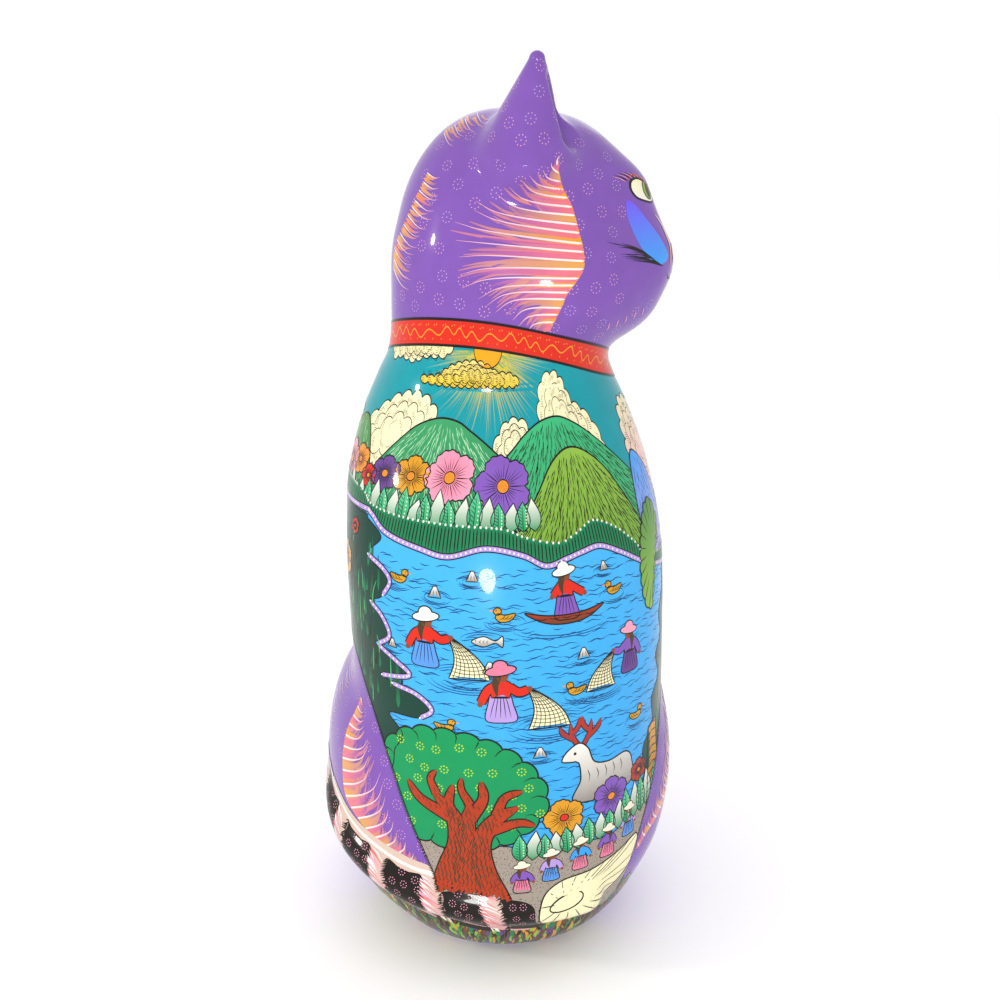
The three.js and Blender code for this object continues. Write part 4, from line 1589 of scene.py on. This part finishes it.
def paint_base():
    """A band low down, under the tail and round the back: a dark umber-to-brown fill, darkest at the bottom,
    partly painted shade under the tail, with plant strokes of brown, green and purple on it.
    """
    base = Sheet("base_band", round_body, 3)
    # Partly painted shade: the dark fill under the tail, umber at the bottom and brown higher up.
    base.fill(BASE_OUTLINE, ("umber", "brown"), 1.8)
    for x, z in sprinkle(BASE_OUTLINE - (0, 2), 3.4, 0.5):
        base.level = int(rng.integers(4, 7))
        colour = rng.choice(BASE_COLOURS)
        rise = rng.uniform(4, 9)
        path = curve([(x, z), (x + rng.uniform(-1, 1), z + rise / 2), (x + rng.uniform(-2, 2), z + rise)])
        base.stroke(path, rng.uniform(1.2, 3.0), colour, (0.3, 0.6))
    return base


tail_bands, base_band = paint_tail(), paint_base()
sheets = [areas, lines, clouds, garden, figures, collar, *paint_head_sides(), paint_face_front(),
          tail_bands, paint_haunches(), paint_chest(), base_band]
for sheet in sheets:
    sheet.make(glaze_paint)

# The skin under the paint, and the small dotted rosettes on it.

ROSETTE_GAP = 9.5
ROSETTE_RADIUS = 2.3
RING_DOTS, DOT_SIDES, DOT_RADIUS = 9, 6, 0.3
FACE_FROM = 56  # rosettes keep off the face, which begins this far ahead of the head's middle


def rosette_spots(points, normals):
    """Loose but even places on the bare purple, away from the painted pictures."""
    x, y, z = points.T
    turn = np.arctan2(-x, y)
    f, s, up = head_axes(x, y, z)
    on_scene = inside(landscape, np.stack([WRAP_RADIUS * turn, z], 1)) & (z < 300)
    collar_gap = collar_height(turn) - z
    on_collar = (collar_gap > -3) & (collar_gap < COLLAR_WIDTH + 3)
    plume = np.concatenate([CHEEK_EDGE, CHEEK_TIPS[::-1]])
    on_cheek = inside(plume, np.stack([f, up], 1)) & (np.abs(s) > 20)
    on_tail = (tail(x, y, z) < 2) & (x > -20)
    low = z < BASE_TOP + 2
    on_face = (f > FACE_FROM) & (np.abs(up) < 30)
    free = np.flatnonzero(~(on_scene | on_collar | on_cheek | on_tail | low | on_face))
    rng.shuffle(free)
    kept = np.empty((0, 3))
    chosen = []
    for n in free:
        if len(kept) == 0 or ((kept - points[n]) ** 2).sum(1).min() > ROSETTE_GAP ** 2:
            kept = np.concatenate([kept, points[n:n + 1]])
            chosen.append(n)
    return points[chosen], normals[chosen]


def rosettes(points, normals):
    """A ring of small dots and one in the middle, flat against the skin."""
    aside = np.cross(normals, (0.31, 0.2, 0.93))
    aside /= np.linalg.norm(aside, axis=1)[:, None]
    upward = np.cross(normals, aside)
    middles = np.concatenate([[(0, 0)], oval((0, 0), (ROSETTE_RADIUS, ROSETTE_RADIUS), RING_DOTS)])
    dot = oval((0, 0), (DOT_RADIUS, DOT_RADIUS), DOT_SIDES)
    flat = (middles[:, None] + dot).reshape(-1, 2)
    spread = flat[None, :, :1] * aside[:, None] + flat[None, :, 1:] * upward[:, None]
    places = (points[:, None] + spread).reshape(-1, 3)
    dot_faces = np.array([(0, n, n + 1) for n in range(1, DOT_SIDES - 1)])
    first = DOT_SIDES * np.arange(len(places) // DOT_SIDES)
    faces = (dot_faces + first[:, None, None]).reshape(-1, 3)
    places, outward = settle(places, 2)
    places = places + outward * (LAYER * 1.5 - SKIN_DEPTH)
    colours = [ramp_number("rose_dot"), ramp_number("lilac_dot")]
    ramp = np.repeat(np.where(np.arange(len(points)) % 3, *colours), len(flat))
    middle_of_ramp = np.full((len(places), 2), 0.5)
    return piece("rosettes", places, faces, outward, middle_of_ramp, ramp, glaze_paint)


points, faces, normals = bare_skin()
place = np.stack([np.full(len(points), 0.5), points[:, 2] / HEIGHT], 1)
purple = np.full(len(points), ramp_number("purple"))
skin = piece("cat_skin", points, faces, normals, place, purple, glaze_paint)
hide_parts("cat")
rosettes(*rosette_spots(points + normals * SKIN_DEPTH, normals))

# Camera, light and floor.

CAMERA_AZIMUTH, CAMERA_PITCH = math.radians(165), math.radians(17)
CAMERA_DISTANCE, CAMERA_HEIGHT = 600, 400
FOCAL_PIXELS, IMAGE_PIXELS, SENSOR = 1306, 1000, 36
PRINCIPAL_COLUMN = 503  # column of the photograph that the camera's own middle falls on


def add_camera():
    camera = bpy.data.cameras.new("camera")
    camera.sensor_width = SENSOR
    camera.lens = SENSOR * FOCAL_PIXELS / IMAGE_PIXELS
    camera.shift_x = (IMAGE_PIXELS / 2 - PRINCIPAL_COLUMN) / IMAGE_PIXELS
    camera.clip_start = 0.01
    made = bpy.data.objects.new("camera", camera)
    sideways, towards = math.sin(CAMERA_AZIMUTH), -math.cos(CAMERA_AZIMUTH)
    made.location = Vector((CAMERA_DISTANCE * sideways, CAMERA_DISTANCE * towards, CAMERA_HEIGHT)) * MM
    look = Vector((
        -sideways * math.cos(CAMERA_PITCH), -towards * math.cos(CAMERA_PITCH), -math.sin(CAMERA_PITCH),
    ))
    made.rotation_euler = look.to_track_quat("-Z", "Y").to_euler()
    bpy.context.scene.collection.objects.link(made)
    bpy.context.scene.camera = made


LAMP_TARGET = (0, 0, 0.21)  # metres, the middle of the cat
SPOT_ANGLE = math.radians(75)
FLOOR_REACH = 40.0  # metres, far enough that its edge isn't seen


def add_lamp(name, kind, place, size, power, colour=(1, 1, 1)):
    """A round soft lamp that looks at the middle of the cat."""
    lamp = bpy.data.lights.new(name, kind)
    lamp.energy = power
    lamp.color = colour
    if kind == "SPOT":
        lamp.shadow_soft_size = size / 2
        lamp.spot_size = SPOT_ANGLE
        lamp.spot_blend = 1.0
    else:
        lamp.shape = "DISK"
        lamp.size = size
    made = bpy.data.objects.new(name, lamp)
    made.location = place
    made.rotation_euler = (Vector(LAMP_TARGET) - Vector(place)).to_track_quat("-Z", "Y").to_euler()
    bpy.context.scene.collection.objects.link(made)


def add_stage():
    mesh = bpy.data.meshes.new("floor")
    ring = oval((0, 0), (FLOOR_REACH, FLOOR_REACH), 64)
    mesh.from_pydata([(x, y, 0) for x, y in ring], [], [list(range(len(ring)))])
    mesh.materials.append(plain("pale_floor", (0.985, 0.985, 0.985), 1.0))
    floor = bpy.data.objects.new("floor", mesh)
    bpy.context.scene.collection.objects.link(floor)
    world = bpy.data.worlds.new("studio")
    world.use_nodes = True
    background = world.node_tree.nodes["Background"]
    background.inputs["Color"].default_value = (1.0, 1.0, 1.0, 1)
    background.inputs["Strength"].default_value = 1.03
    bpy.context.scene.world = world


add_camera()
add_stage()
add_lamp("camera_side", "SPOT", (0.37, 1.02, 0.31), 0.19, 20, (1.0, 0.98, 0.95))
add_lamp("left_side", "SPOT", (1.2, -0.02, 0.6), 0.13, 12, (1.0, 0.95, 0.88))
add_lamp("front_side", "AREA", (-0.5, -1.7, 1.3), 1.5, 3)
bpy.context.scene.view_settings.view_transform = "Standard"
